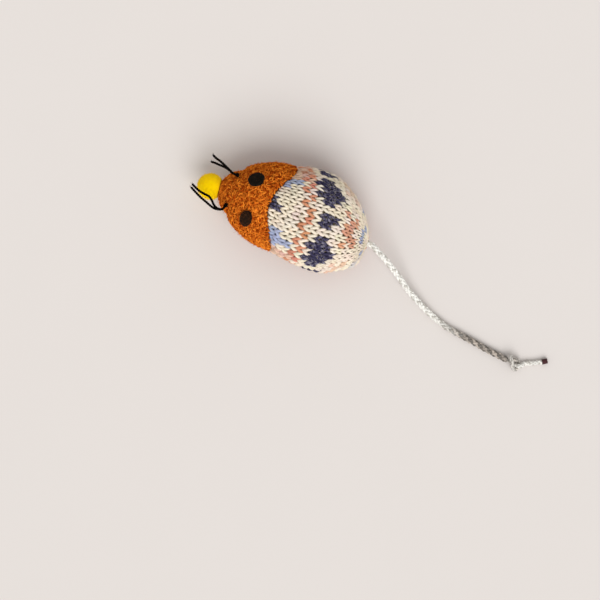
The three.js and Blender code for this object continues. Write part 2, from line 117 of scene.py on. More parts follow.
# Where the left side is fuller or slimmer: how far, at which station and over what length
FULLNESS = ((1.5, 55.4, 2.0), (-0.6, 49.5, 2.4))
FULL_ANGLE, FULL_SPREAD = 1.45, 0.8

# The grid on which the covers are stuffed, and the powers by which rows crowd at snout and rump
HEAD_ROWS, BODY_ROWS, BACK_COLUMNS, BELLY_COLUMNS = 18, 32, 44, 28
HEAD_PACE, BODY_PACE = 1.8, 1.7
BACK_TURN, BELLY_TURN = 2 * FLANK_ANGLE, 2 * np.pi - 2 * FLANK_ANGLE
STUFFED = {}

# The swell by formula, and for the cloth: metres to a millimetre, how far in its seams and its
# covers start, and the least and the most that is kept of its swell
PLAIN_SWELL, CLOTH_SCALE, SEAM_START, COVER_START = 0.3, 0.02, 0.3, 0.5
LEAST_SWELL, MOST_SWELL = -0.15, 0.45

# The knit: the station at the spine from which the courses are counted, and points along the spine
KNIT_FROM, SPINE_POINTS = 17.65, 4000
# Its wales: where they are counted from, how they widen and from which wale, and how far they turn,
# from which station and over what length
WALE_START, WIDEN, WIDEN_FROM = -0.1, 0.0026, -8
SHIFT, SHIFT_FROM, SHIFT_OVER = 0.2, 12, 37
# The outermost wales to the right and to the left, and the points to a wale
FIRST_WALE, LAST_WALE, WALE_POINTS = -15.5, 10.5, 24
# Its courses: how far they bend and how fast
BEND, BEND_RATE = 1.75, 0.18
# A stitch in its course: where it starts, how far it reaches along and spreads across, how deep it lies
COURSE_START, LOOP_REACH, LEG_SPREAD, KNIT_DEPTH = 0.57, 0.76, 0.22, 0.47
THINNEST_YARN = 0.16
# How deep the yarn dives at the neck seam, over what distance, and how steeply beyond it. Then the
# same at the flank seams, and how deep it dives at the most
NECK_TUCK, NECK_TUCK_OVER, NECK_RAMP = 1.3, 0.4, 0.7
FLANK_TUCK, FLANK_TUCK_OVER, DEEPEST_TUCK = 1.5, 0.75, 1.9
# How much a stitch strays across, along, in height and in its spread
STRAY = (0.04, 0.08, 0.09, 0.05)
NAVY_MARL, BLUE_MARL = 0.65, 0.3

# How deep the backings of the knit and of the loops start and where both end, how deep the loops
# and the filling lie, and what is left open at the ends of the backings
KNIT_BACKING, PILE_BACKING, BACKING_UNDER = 1.45, 0.5, 1.75
PILE_DEPTH, FILLING_DEPTH, SNOUT_HOLE, RUMP_HOLE = 0.75, 2.15, 0.04, 0.12
# How much deeper the brown cloth lies by the rump, from how far before its end and over what length
RUMP_DRAW, RUMP_DRAW_FROM, RUMP_DRAW_OVER = 0.6, 12, 8

# Shares of a radius: how much a fibre thins, how far a ply lies off the middle and how thick it is
HAIR_TAPER, PLY_OFF, PLY_RADIUS = 0.6, 0.42, 0.62
# The colour of a marl's streaks, and the height of a finish's bumps in metres
MARL, BUMP_HEIGHT = (0.3, 0.28, 0.36, 1), 0.0002

# The seams: the station where the flank seams end, and the depth, dip and length of a stitch
SEAM_END, SEAM_DEPTH, STITCH_DIP, STITCH_LENGTH = 55.9, 0.8, 0.25, 2.6

# An eye's rings as shares of its radius, their heights, and the number of its loose fibres
EYE_SHARE = [0.02, 0.5, 0.86, 0.97, 1.0, 0.96, 0.85, 0.6, 0.3, 0.02]
EYE_RISE = [-0.1, -0.1, -0.05, 0.1, 0.4, 0.75, 0.98, 1.12, 1.16, 1.18]
EYE_FIBRES = 520
# The pompom's middle from the snout tip
POMPOM_PLACE = [2.8, 1.2, -0.2]

# How far inside the rump the tail's root knot lies, its size and its cord's radius, and the length
# over which the tail bends where its run begins
ROOT_DEPTH, ROOT_KNOT_SIZE, ROOT_KNOT_RADIUS, FLEX_LENGTH = 7, 0.46, 0.62, 2.4

# The camera's place in metres, and the directions of the picture's right and top
CAMERA_PLACE = (-0.004623, 0.027796, 0.9)
CAMERA_RIGHT, CAMERA_UP = (-0.93309, -0.35964, 0), (0.35964, -0.93309, 0)
LENS, SENSOR, FLOOR_RADIUS = 147.95, 36, 8
SKY_COLOUR = (1, 0.99, 0.975, 1)


def linear(red, green, blue):
    """Linear colour of a display colour: each channel by the standard display curve."""
    c = np.array([red, green, blue]) / 255
    return tuple(np.where(c <= 0.04045, c / 12.92, ((c + 0.055) / 1.055) ** 2.4).tolist())


def colour(name, description, red, green, blue):
    """A colour setting with a display colour as its default."""
    return FloatVectorProperty(name=name, description=description, subtype="COLOR", size=3,
                               min=0, max=1, default=linear(red, green, blue))


def length(name, description, millimetres):
    """A length setting with a default in millimetres."""
    return FloatProperty(name=name, description=description, unit="LENGTH", precision=5,
                         min=0, default=millimetres * MM)


class KnitSettings(PropertyGroup):
    """The patterned knit of the back."""

    wale: FloatProperty(name="Wale", description="Angle between two columns of stitches at the spine",
                        subtype="ANGLE", default=0.1625)
    course: length("Course", "Distance between two rows of stitches", 2.45)
    yarn: length("Yarn", "Width of the yarn", 1.26)
    cream: colour("Cream", "Ground of the knit", 239, 226, 206)
    navy: colour("Navy", "Hearts and small diamonds", 58, 54, 80)
    salmon: colour("Salmon", "Zigzag bands", 214, 142, 117)
    tan: colour("Tan", "Duller stretches of the zigzag bands' yarn", 204, 148, 102)
    blue: colour("Light blue", "Darts beside the neck and flecks by the tail", 170, 178, 205)
    # The backing stands for the back of the knit; its colour, darker than the yarn, is painted shade in
    # the holes between the stitches
    backing: colour("Backing", "What shows between the stitches", 160, 141, 106)


class PileSettings(PropertyGroup):
    """The brown looped cloth of the head and the belly."""

    gap: length("Gap", "Distance between two loops", 0.66)
    loop: length("Loop", "Length of a loop", 1.55)
    yarn: length("Yarn", "Width of a loop's yarn", 0.46)
    dark: colour("Dark brown", "Dark loops", 172, 68, 6)
    light: colour("Light brown", "Light loops", 255, 150, 46)
    backing: colour("Backing", "Cloth under the loops", 190, 84, 6)


class FaceSettings(PropertyGroup):
    """Eyes, pompom and whiskers."""

    eye: length("Eye", "Diameter of an eye", 5.5)
    felt: colour("Felt", "Black felt of the eyes", 20, 18, 14)
    pompom: length("Pompom", "Diameter of the pompom", 10.2)
    yellow: colour("Yellow", "Pompom", 255, 216, 0)
    whisker: length("Whisker", "Width of a whisker", 0.95)
    black: colour("Black thread", "Whiskers and their knots", 12, 10, 9)
    brown: colour("Seam thread", "Thread of the seams", 112, 60, 24)


class TailSettings(PropertyGroup):
    """The braided cord."""

    lay: length("Lay", "Length of one turn of a strand", 8)
    silver: colour("Silver", "Bright strands", 238, 236, 230)
    grey: colour("Grey", "Dull strands", 202, 198, 190)
    # Dusk is painted shade: the colour the strands darken to towards the knot
    dusk: colour("Dusk", "Strands near the knot", 152, 141, 131)
    dark: colour("Dark", "The cut end", 72, 44, 46)


class FillSettings(PropertyGroup):
    """What the mouse is stuffed with."""

    fibre: colour("Fibre", "Filling", 240, 238, 230)
    catnip: colour("Catnip", "Dried leaf", 112, 120, 66)
    pressure: FloatProperty(name="Pressure", description="How hard the filling presses on the covers",
                            min=0, max=60, default=20)
    stretch: FloatProperty(name="Stretch", description="How hard the covers resist stretching",
                           min=0.1, max=50, default=1.5)
    frames: IntProperty(name="Steps", description="Steps of the stuffing", min=2, max=60, default=20)


class StageSettings(PropertyGroup):
    """Floor, light and camera."""

    floor: colour("Floor", "Plain pale floor", 218, 212, 208)
    key: FloatProperty(name="Key", description="Strength of the key light", min=0, default=2.2)
    sky: FloatProperty(name="Sky", description="Strength of the light all round", min=0, default=0.6)


# The stuffed form


def neck_station(phi):
    """Station of the neck seam: near the snout at the spine, swept back by a squared sine.

    On the right cheek the stuffed head draws it forward by a bell curve.
    """
    turn = np.arccos(np.clip(np.cos(phi), -1, 1))
    swept = np.sin(np.minimum(NECK_SWEEP * turn, np.pi / 2)) ** 2
    cheek = np.exp(-(((np.mod(phi, 2 * np.pi) - 2 * np.pi + CHEEK_ANGLE) / CHEEK_SPREAD) ** 2))
    return NECK_TOP + (NECK_SIDE - NECK_TOP) * swept - CHEEK_DRAW * cheek


def surface(station, phi):
    """The stuffed form at a distance back from the snout tip and an angle from the spine.

    The section's width is a power of a parabola before and behind the widest station. The upper half
    is an ellipse, the lower half a squarer one, cut flat by the floor, and the neck is drawn in by a
    bell curve. The sections lean to the right, then to the left, by a sine.
    """
    station, phi = np.broadcast_arrays(np.asarray(station, float), np.asarray(phi, float))
    ahead = station < SNOUT_TO_WIDEST
    share = np.where(ahead, station / SNOUT_TO_WIDEST, (station - SNOUT_TO_WIDEST) / REAR_LENGTH)
    front = np.clip(share * (2 - share), 0, None) ** SNOUT_POWER
    rear = np.clip(1 - share * share, 0, None) ** RUMP_POWER
    swell = np.where(ahead, front, rear)
    drop = np.where(ahead, SNOUT_DROP * (1 - share) ** 2, RUMP_DROP * share ** 2)
    draw = NECK_DRAW * np.exp(-(((station - neck_station(phi)) / NECK_DRAW_REACH) ** 2))
    half = swell * HALF_WIDTH - draw
    across, up, axis = np.sin(phi), np.cos(phi), AXIS_HEIGHT - drop
    lean = -BODY_LEAN * np.sin(2 * np.pi * np.clip(station / BODY_LENGTH, 0, 1) ** LEAN_POWER)
    wide = np.sign(across) * np.abs(across) ** np.where(up >= 0, 1, BELLY_POWER)
    deep = np.abs(up) ** BELLY_POWER
    high = axis + (swell * BACK_RISE - draw) * up
    low = np.maximum(axis - (swell * BELLY_DEPTH - draw) * deep, 0)
    return np.stack([SNOUT_TO_WIDEST - station, lean + half * wide, np.where(up >= 0, high, low)], -1)


def unit(vectors):
    """Vectors divided by their lengths."""
    return vectors / np.maximum(np.linalg.norm(vectors, axis=-1, keepdims=True), 1e-12)


def outward(station, phi, step=2e-3):
    """Outward direction: the cross product of the steps round the form and back along it."""
    station = np.clip(station, 0.02, BODY_LENGTH - 0.02)
    back = surface(station + step, phi) - surface(station - step, phi)
    around = surface(station, phi + step) - surface(station, phi - step)
    return unit(np.cross(around, back))


def round_step(station, phi):
    """The step round the form from a little before an angle to a little past it."""
    return surface(station, phi + STEP) - surface(station, phi - STEP)


def cover_place(row, column):
    """Station and angle of a point on the covers' grid, whose lines follow the neck and flank seams."""
    row, column = np.broadcast_arrays(np.asarray(row, float), np.asarray(column, float))
    behind = (column - BACK_COLUMNS) / BELLY_COLUMNS
    phi = np.where(column <= BACK_COLUMNS, FLANK_ANGLE * (2 * column / BACK_COLUMNS - 1),
                   FLANK_ANGLE + BELLY_TURN * behind)
    neck = neck_station(phi)
    ahead = np.clip(row / HEAD_ROWS, 0, 1) ** HEAD_PACE
    past = 1 - (1 - np.clip((row - HEAD_ROWS) / BODY_ROWS, 0, 1)) ** BODY_PACE
    return np.where(row <= HEAD_ROWS, neck * ahead, neck + (BODY_LENGTH - neck) * past), phi


def stuffing(station, phi):
    """How far the stuffed covers stand out of the plain form, read off the grid between its points."""
    grid = STUFFED["grid"]
    turn = np.mod(phi + FLANK_ANGLE, 2 * np.pi)
    below = (turn - BACK_TURN) / BELLY_TURN * BELLY_COLUMNS
    column = np.where(turn <= BACK_TURN, turn / BACK_TURN * BACK_COLUMNS, BACK_COLUMNS + below)
    neck = neck_station(phi)
    ahead = HEAD_ROWS * np.clip(station / neck, 0, 1) ** (1 / HEAD_PACE)
    past = 1 - (1 - np.clip((station - neck) / (BODY_LENGTH - neck), 0, 1)) ** (1 / BODY_PACE)
    row = np.where(station <= neck, ahead, HEAD_ROWS + BODY_ROWS * past)
    rows, columns = grid.shape
    j = np.clip(np.floor(row).astype(int), 0, rows - 2)
    i = np.floor(column).astype(int) % columns
    beside = (i + 1) % columns
    v, u = row - j, column - np.floor(column)
    near = grid[j, i] * (1 - u) + grid[j, beside] * u
    far = grid[j + 1, i] * (1 - u) + grid[j + 1, beside] * u
    return near * (1 - v) + far * v


def cinch(station, phi):
    """How far the whiskers' crossing thread draws the snout in: a bell curve down each cheek."""
    along = (station - WHISKER_STATION) / CINCH_LENGTH
    down = (np.abs(np.mod(phi + np.pi, 2 * np.pi) - np.pi) - CINCH_ANGLE) / CINCH_SPREAD
    return CINCH_DEPTH * np.exp(-(along ** 2) - down ** 2)


def fullness(station, phi):
    """How far the stuffing fills out the left side: bell curves along the body, times one round it."""
    turn = (np.mod(phi + np.pi, 2 * np.pi) - np.pi - FULL_ANGLE) / FULL_SPREAD
    along = sum(rise * np.exp(-(((station - middle) / reach) ** 2)) for rise, middle, reach in FULLNESS)
    return along * np.exp(-(turn ** 2))


def skin(station, phi, depth):
    """A point a given depth under the stuffed covers."""
    station, phi = np.broadcast_arrays(np.asarray(station, float), np.asarray(phi, float))
    rise = stuffing(station, phi) + fullness(station, phi) - cinch(station, phi)
    return surface(station, phi) + (rise - depth)[..., None] * outward(station, phi)


def spine_table():
    """Stations along the spine and their distances along it from the first course."""
    share = 1 - (1 - np.linspace(0, 1, SPINE_POINTS)) ** 3
    station = KNIT_FROM + (BODY_LENGTH - KNIT_FROM) * share
    return station, run_along(surface(station, 0 * station))


# Meshes


def run_along(path):
    """Distance along a path from its start to each of its points."""
    return np.concatenate([[0], np.cumsum(np.linalg.norm(np.diff(path, axis=0), axis=1))])


def spline(points, count, power=0.5):
    """Even points along a centripetal Catmull-Rom curve through the given ones."""
    p = np.asarray(points, float)
    p = np.concatenate([[2 * p[0] - p[1]], p, [2 * p[-1] - p[-2]]])
    knots = np.concatenate([[0], np.cumsum(np.linalg.norm(np.diff(p, axis=0), axis=1) ** power)])
    fine = np.linspace(knots[1], knots[-2], 60 * len(p))
    k = np.clip(np.searchsorted(knots, fine, side="right") - 1, 1, len(p) - 3)
    t0, t1, t2, t3 = (knots[k + d][:, None] for d in (-1, 0, 1, 2))
    p0, p1, p2, p3 = (p[k + d] for d in (-1, 0, 1, 2))
    t = fine[:, None]
    a1 = (t1 - t) / (t1 - t0) * p0 + (t - t0) / (t1 - t0) * p1
    a2 = (t2 - t) / (t2 - t1) * p1 + (t - t1) / (t2 - t1) * p2
    a3 = (t3 - t) / (t3 - t2) * p2 + (t - t2) / (t3 - t2) * p3
    b1 = (t2 - t) / (t2 - t0) * a1 + (t - t0) / (t2 - t0) * a2
    b2 = (t3 - t) / (t3 - t1) * a2 + (t - t1) / (t3 - t1) * a3
    curve = (t2 - t) / (t2 - t1) * b1 + (t - t1) / (t2 - t1) * b2
    return even(curve, count)


def even(path, count):
    """The same path with points at equal distances along it."""
    run = run_along(path)
    at = np.linspace(0, run[-1], count)
    return np.stack([np.interp(at, run, path[:, c]) for c in range(3)], -1)


def trefoil(count, size, depth=1.0):
    """A tied knot as a closed curve: sines and cosines of one turn and of two, and a sine of three."""
    t = np.linspace(0, 2 * np.pi, count)[:-1]
    across = np.sin(t) + 2 * np.sin(2 * t)
    up = np.cos(t) - 2 * np.cos(2 * t)
    return np.stack([across, up, -depth * np.sin(3 * t)], -1) * size


def ball(rows, columns, tip):
    """Directions over a ball in rings about its length, from one tip to the other."""
    polar = np.linspace(tip, np.pi - tip, rows)[:, None]
    turn = np.arange(columns) / columns * 2 * np.pi
    aside, up = np.sin(polar) * np.cos(turn), np.sin(polar) * np.sin(turn)
    return np.stack([np.cos(polar) + 0 * turn, aside, up], -1)


def above_floor(points, gap=FLOOR_GAP):
    """Lifts those points that lie lower than a gap above the floor."""
    points[..., 2] = np.maximum(points[..., 2], gap)
    return points


def steady_up(path, first=(0, 0, 1)):
    """A sideways direction carried along a path without twist.

    Each step takes out what leans along the path.
    """
    along = unit(np.gradient(path, axis=0))
    up = np.empty_like(path)
    last = np.asarray(first, float)
    for k, direction in enumerate(along):
        last = last - direction * (last @ direction)
        last = last / np.linalg.norm(last)
        up[k] = last
    return up


def tubes(paths, up, radius, sides=6, spin=0.0, lobes=0.0, tint=(1, 1, 1), marl=0.0, under=0.0):
    """Round sections carried along many paths at once and closed at both ends.

    paths is tubes by steps by three. A section's radius may swell into two lobes that turn round the
    path, as in a yarn of two plies. The map's first number follows the twist round the tube, its
    second one the distance along it. under is the strength of a painted shade that darkens a tube's
    underside against its top, by a sine round it.
    """
    paths = np.asarray(paths, float)
    count, steps, _ = paths.shape
    up = np.broadcast_to(up, paths.shape)
    radius = np.broadcast_to(np.asarray(radius, float), (count, steps))
    along = unit(np.gradient(paths, axis=1))
    aside = unit(np.cross(along, up))
    top = np.cross(aside, along)
    run = np.linalg.norm(np.diff(paths, axis=1), axis=-1)
    run = np.concatenate([np.zeros((count, 1)), np.cumsum(run, 1)], 1)
    turn = 2 * np.pi * np.arange(sides) / sides - np.pi / 2
    swell = 1 + lobes * np.cos(2 * (turn - 2 * np.pi * spin * run[..., None]))
    ring = np.cos(turn)[:, None] * aside[:, :, None] + np.sin(turn)[:, None] * top[:, :, None]
    points = paths[:, :, None] + (radius[..., None] * swell)[..., None] * ring
    index = np.arange(count * steps * sides).reshape(count, steps, sides)
    after = np.roll(index, -1, 2)
    quads = np.stack([index[:, :-1], index[:, 1:], after[:, 1:], after[:, :-1]], -1).reshape(-1, 4)
    place = np.arange(sides) / sides
    v = np.broadcast_to(run[..., None], (count, steps, sides))
    u, u2 = place + spin * v, place + 1 / sides + spin * v
    corners = [(u[:, :-1], v[:, :-1]), (u[:, 1:], v[:, 1:]),
               (u2[:, 1:], v[:, 1:]), (u2[:, :-1], v[:, :-1])]
    uv = np.stack([np.stack(c, -1) for c in corners], 3).reshape(-1, 4, 2)
    caps = np.concatenate([index[:, 0], index[:, -1, ::-1]])
    tint = np.asarray(tint, float)
    if tint.ndim == 2:
        tint = tint[:, None]
    tint = np.broadcast_to(tint, (count, steps, 3))
    marl = np.broadcast_to(np.asarray(marl, float), (count, steps))
    rgba = np.concatenate([tint, marl[..., None]], -1)
    rgba = np.repeat(rgba[:, :, None], sides, 2)
    # Painted shade: the tube's underside is darker than its top
    rgba[..., :3] *= (1 - under * (1 - np.sin(turn)) / 2)[:, None]
    rgba = rgba.reshape(-1, 4)
    faces = [(quads, uv), (caps, np.zeros(caps.shape + (2,)))]
    return {"points": points.reshape(-1, 3), "faces": faces, "tint": rgba, "material": 0}


def ringed(rows, tint=(1, 1, 1), material=0):
    """A closed surface over a grid of rings, with its first and last rings closed by a face each."""
    rows = np.asarray(rows, float)
    count, columns, _ = rows.shape
    index = np.arange(count * columns).reshape(count, columns)
    after = np.roll(index, -1, 1)
    quads = np.stack([index[:-1], index[1:], after[1:], after[:-1]], -1).reshape(-1, 4)
    caps = np.stack([index[0], index[-1, ::-1]])
    return closed({"points": rows.reshape(-1, 3), "faces": [plain(quads), plain(caps)],
                   "tint": shade(tint, count * columns), "material": material})


def plain(faces):
    """Faces with an empty map."""
    return faces, np.zeros(faces.shape + (2,))


def shade(tint, count):
    """One colour, or a colour for each point, with no marl."""
    tint = np.broadcast_to(np.asarray(tint, float), (count, 3))
    return np.concatenate([tint, np.zeros((count, 1))], 1)


def mixed(first, second, share):
    """Two colours mixed by the second one's share."""
    return np.asarray(first) * (1 - share) + np.asarray(second) * share


def closed(part):
    """Turns a closed part's faces round if its signed volume, summed over face fans, is negative."""
    p, volume = part["points"], 0.0
    for faces, _ in part["faces"]:
        for k in range(1, faces.shape[1] - 1):
            a, b, c = p[faces[:, 0]], p[faces[:, k]], p[faces[:, k + 1]]
            volume += np.einsum("ij,ij->", a, np.cross(b, c))
    if volume < 0:
        part["faces"] = [(faces[:, ::-1], uv[:, ::-1]) for faces, uv in part["faces"]]
    return part


def slab(station, phi, outer, inner, ring, tint, material=1):
    """Cloth under the yarn: two skins over a grid of stations and angles, joined along the edges."""
    rows, columns = station.shape
    skins = [skin(station, phi, depth).reshape(-1, 3) for depth in (outer, inner)]
    points = above_floor(np.concatenate(skins))
    index = np.arange(rows * columns).reshape(rows, columns)
    if ring:
        index = np.concatenate([index, index[:, :1]], 1)
    low = index + rows * columns
    top = [index[:-1, :-1], index[1:, :-1], index[1:, 1:], index[:-1, 1:]]
    under = [low[:-1, :-1], low[:-1, 1:], low[1:, 1:], low[1:, :-1]]
    quads = [np.stack(corners, -1).reshape(-1, 4) for corners in (top, under)]
    edges = [(index[0], low[0]), (index[-1, ::-1], low[-1, ::-1])]
    if not ring:
        edges += [(index[::-1, 0], low[::-1, 0]), (index[:, -1], low[:, -1])]
    quads += [np.stack([a[:-1], a[1:], b[1:], b[:-1]], -1) for a, b in edges]
    return closed({"points": points, "faces": [plain(np.concatenate(quads))],
                   "tint": shade(tint, len(points)), "material": material})


def make(name, parts, materials, body="mouse", nodes=()):
    """One object of several parts, at the origin, with its map, its colours and its finishes."""
    points = np.concatenate([part["points"] for part in parts])
    tint = np.concatenate([part["tint"] for part in parts])
    starts = np.cumsum([0] + [len(part["points"]) for part in parts])
    faces = [(f + s, uv, p["material"]) for p, s in zip(parts, starts) for f, uv in p["faces"]]
    loops = np.concatenate([f.ravel() for f, _, _ in faces])
    totals = np.concatenate([np.full(len(f), f.shape[1]) for f, _, _ in faces])
    which = np.concatenate([np.full(len(f), m) for f, _, m in faces])
    mesh = bpy.data.meshes.new(name)
    mesh.vertices.add(len(points))
    mesh.vertices.foreach_set("co", (points * MM).astype(np.float32).ravel())
    mesh.loops.add(len(loops))
    mesh.loops.foreach_set("vertex_index", loops.astype(np.int32))
    mesh.polygons.add(len(totals))
    mesh.polygons.foreach_set("loop_start", (np.cumsum(totals) - totals).astype(np.int32))
    mesh.polygons.foreach_set("material_index", which.astype(np.int32))
    mesh.polygons.foreach_set("use_smooth", np.ones(len(totals), bool))
    layer = mesh.uv_layers.new(name="UVMap")
    uvs = np.concatenate([uv.reshape(-1, 2) for _, uv, _ in faces])
    layer.data.foreach_set("uv", uvs.astype(np.float32).ravel())
    colours = mesh.attributes.new("tint", "FLOAT_COLOR", "POINT")
    colours.data.foreach_set("color", tint.astype(np.float32).ravel())
    mesh.update(calc_edges=True)
    for material in materials:
        mesh.materials.append(material)
    piece = bpy.data.objects.new(name, mesh)
    bpy.context.scene.collection.objects.link(piece)
    if body:
        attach(piece, body)
    if nodes:
        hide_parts(*nodes)
    return piece


def hairs(root, direction, reach, curl, radius, rng, tint, steps=4):
    """Fine fibres: each leaves its root along a direction and bends off to one side by a parabola."""
    q = np.linspace(0, 1, steps)[None, :, None]
    side = unit(np.cross(direction, unit(rng.normal(size=direction.shape))))
    reach, curl = np.asarray(reach)[:, None, None], np.asarray(curl)[:, None, None]
    lead = q * direction[:, None] + curl * q ** 2 * side[:, None]
    thin = radius * (1 - HAIR_TAPER * q[..., 0])
    return tubes(root[:, None] + reach * lead, np.cross(direction, side)[:, None], thin, 3, tint=tint)


# Finishes


def set_inputs(tree, node, inputs):
    """Gives a node's inputs their values, or joins them to other nodes' outputs."""
    for key, value in inputs.items():
        if isinstance(value, bpy.types.NodeSocket):
            tree.links.new(value, node.inputs[key])
        else:
            node.inputs[key].default_value = value


def add_node(tree, kind, output, inputs=None, **settings):
    """Adds a node with its settings and inputs, and returns one of its outputs."""
    node = tree.nodes.new(f"ShaderNode{kind}")
    for key, value in settings.items():
        setattr(node, key, value)
    set_inputs(tree, node, inputs or {})
    return node.outputs[output]


def fibre_finish(name, streak=(7, 1.4), sheen=0.03, shine=0.04, roughness=0.92, bump=0.5,
                 mottle=(0.78, 1.1), grain=900):
    """Fibrous cloth or thread: the piece's own colours, mottled by place and streaked along the yarn.

    The colour is the tint times a ramp of noise over Object coordinates. The tint's fourth number
    says how strongly streaks of the twisted map turn it to the marl's colour. The same streaks
    and a fine grain give the bump, and the streaks give the roughness.
    """
    material = bpy.data.materials.new(name)
    material.use_nodes = True
    tree = material.node_tree
    own = add_node(tree, "Attribute", "Color", attribute_name="tint")
    place = add_node(tree, "TexCoord", "Object")
    twist = add_node(tree, "UVMap", "UV", uv_map="UVMap")
    stretch = add_node(tree, "Mapping", "Vector", {"Vector": twist, "Scale": (*streak, 1)})
    streaks = add_node(tree, "TexNoise", "Fac", {"Vector": stretch, "Scale": 1.0, "Detail": 3.0})
    patches = add_node(tree, "TexNoise", "Fac", {"Vector": place, "Scale": grain, "Detail": 4.0})
    low, high = mottle
    ramp = {"Value": patches, "From Min": 0.3, "From Max": 0.7, "To Min": low, "To Max": high}
    patchy = add_node(tree, "MapRange", "Result", ramp)
    mottled = add_node(tree, "VectorMath", "Vector", {0: own, "Scale": patchy}, operation="SCALE")
    spread = add_node(tree, "MapRange", "Result", {"Value": streaks, "From Min": 0.5, "From Max": 0.66})
    strength = {0: spread, 1: own.node.outputs["Alpha"]}
    weight = add_node(tree, "Math", "Value", strength, operation="MULTIPLY")
    blend = {"Factor": weight, "A": mottled, "B": MARL}
    marled = add_node(tree, "Mix", "Result", blend, data_type="RGBA")
    height = add_node(tree, "Math", "Value", {0: streaks, 1: patches}, operation="ADD")
    relief = {"Height": height, "Strength": bump, "Distance": BUMP_HEIGHT}
    dull = {"Value": streaks, "To Min": roughness - 0.1, "To Max": min(1, roughness + 0.08)}
    set_inputs(tree, tree.nodes["Principled BSDF"], {
        "Base Color": marled,
        "Normal": add_node(tree, "Bump", "Normal", relief),
        "Roughness": add_node(tree, "MapRange", "Result", dull),
        "Sheen Weight": sheen,
        "Sheen Roughness": 0.5,
        "Specular IOR Level": shine,
    })
    return material


def finish(name, **values):
    """The finish of that name, made once."""
    return bpy.data.materials.get(name) or fibre_finish(name, **values)


# Stuffing


def blown_up(points, faces, held, fill):
    """Where a cloth's points lie after the filling has pressed on it, with some of them held."""
    mesh = bpy.data.meshes.new("stuffing_cloth")
    mesh.from_pydata(points.tolist(), [], faces)
    cloth = bpy.data.objects.new("stuffing_cloth", mesh)
    scene = bpy.context.scene
    scene.collection.objects.link(cloth)
    pins = cloth.vertex_groups.new(name="sewn")
    pins.add(held.tolist(), 1.0, "REPLACE")
    modifier = cloth.modifiers.new("Stuffing", "CLOTH")
    modifier.settings.quality = 6
    modifier.settings.tension_stiffness = fill.stretch
    modifier.settings.compression_stiffness = fill.stretch
    modifier.settings.shear_stiffness = fill.stretch / 2
    modifier.settings.bending_stiffness = 0.3
    modifier.settings.use_pressure = True
    modifier.settings.uniform_pressure_force = fill.pressure
    modifier.settings.vertex_group_mass = "sewn"
    modifier.settings.effector_weights.gravity = 0
    modifier.point_cache.frame_start = 1
    modifier.point_cache.frame_end = fill.frames
    for step in range(1, fill.frames + 1):
        scene.frame_set(step)
    evaluated = cloth.evaluated_get(bpy.context.evaluated_depsgraph_get())
    found = np.empty(len(points) * 3, np.float32)
    evaluated.to_mesh().vertices.foreach_get("co", found)
    evaluated.to_mesh_clear()
    scene.frame_set(1)
    bpy.data.objects.remove(cloth)
    bpy.data.meshes.remove(mesh)
    return found.reshape(-1, 3)


def stuffed_by_cloth(fill):
    """The covers' swell as cloth: the grid, drawn in a little and pinned along its seams, is blown up.

    The cloth is worked out at twenty times the real size, and how far each point then stands out
    of the plain form is kept, capped and smoothed.
    """
    rows, columns = HEAD_ROWS + BODY_ROWS, BACK_COLUMNS + BELLY_COLUMNS
    j, i = np.meshgrid(np.arange(1, rows), np.arange(columns), indexing="ij")
    station, phi = cover_place(j, i)
    rest, normal = surface(station, phi), outward(station, phi)
    flanks = (j > HEAD_ROWS) & ((i == 0) | (i == BACK_COLUMNS))
    sewn = (j == HEAD_ROWS) | flanks | (j == 1) | (j == rows - 1)
    start = rest - normal * np.where(sewn, SEAM_START, COVER_START)[..., None]
    ends = [[SNOUT_TO_WIDEST - 0.5, 0, NOSE_HEIGHT], [RUMP_X + 0.5, 0, AXIS_HEIGHT - RUMP_DROP]]
    points = np.concatenate([start.reshape(-1, 3), ends]) * CLOTH_SCALE
    snout, rump = len(points) - 2, len(points) - 1
    index = np.arange((rows - 1) * columns).reshape(rows - 1, columns)
    after = np.roll(index, -1, 1)
    quads = np.stack([index[:-1], index[1:], after[1:], after[:-1]], -1).reshape(-1, 4)
    front = np.stack([np.full(columns, snout), index[0], after[0]], -1)
    rear = np.stack([np.full(columns, rump), after[-1], index[-1]], -1)
    part = closed({"points": points, "faces": [plain(quads), plain(front), plain(rear)]})
    faces = [face for group, _ in part["faces"] for face in group.tolist()]
    held = np.concatenate([np.flatnonzero(sewn.ravel()), [snout, rump]])
    found = blown_up(points, faces, held, fill)[:-2].reshape(rest.shape) / CLOTH_SCALE
    grid = np.zeros((rows + 1, columns))
    grid[1:-1] = np.clip(((found - rest) * normal).sum(-1), LEAST_SWELL, MOST_SWELL)
    for _ in range(2):
        near = np.roll(grid, 1, 1) + np.roll(grid, -1, 1)
        near[1:-1] += grid[2:] + grid[:-2]
        grid[1:-1] = 0.5 * grid[1:-1] + 0.125 * near[1:-1]
    return grid


# The knitted back


def wale_shift(station):
    """How far the wales are turned to the mouse's left: a sine of the station."""
    return SHIFT * np.sin(np.pi * (station - SHIFT_FROM) / SHIFT_OVER)


def wale_angle(count, knit):
    """Angle of a wale by its number.

    The wales widen a little towards the mouse's left, by a parabola that runs on as its tangent
    beyond the eighth wale to the right.
    """
    near = np.maximum(count, WIDEN_FROM)
    return WALE_START + knit.wale * count + WIDEN * (near ** 2 + 2 * near * (count - near))


def course_bend(count):
    """How many courses a course is drawn forward at a wale: a cosine about the third wale."""
    return BEND * (1 - np.cos(BEND_RATE * (count - 3)))


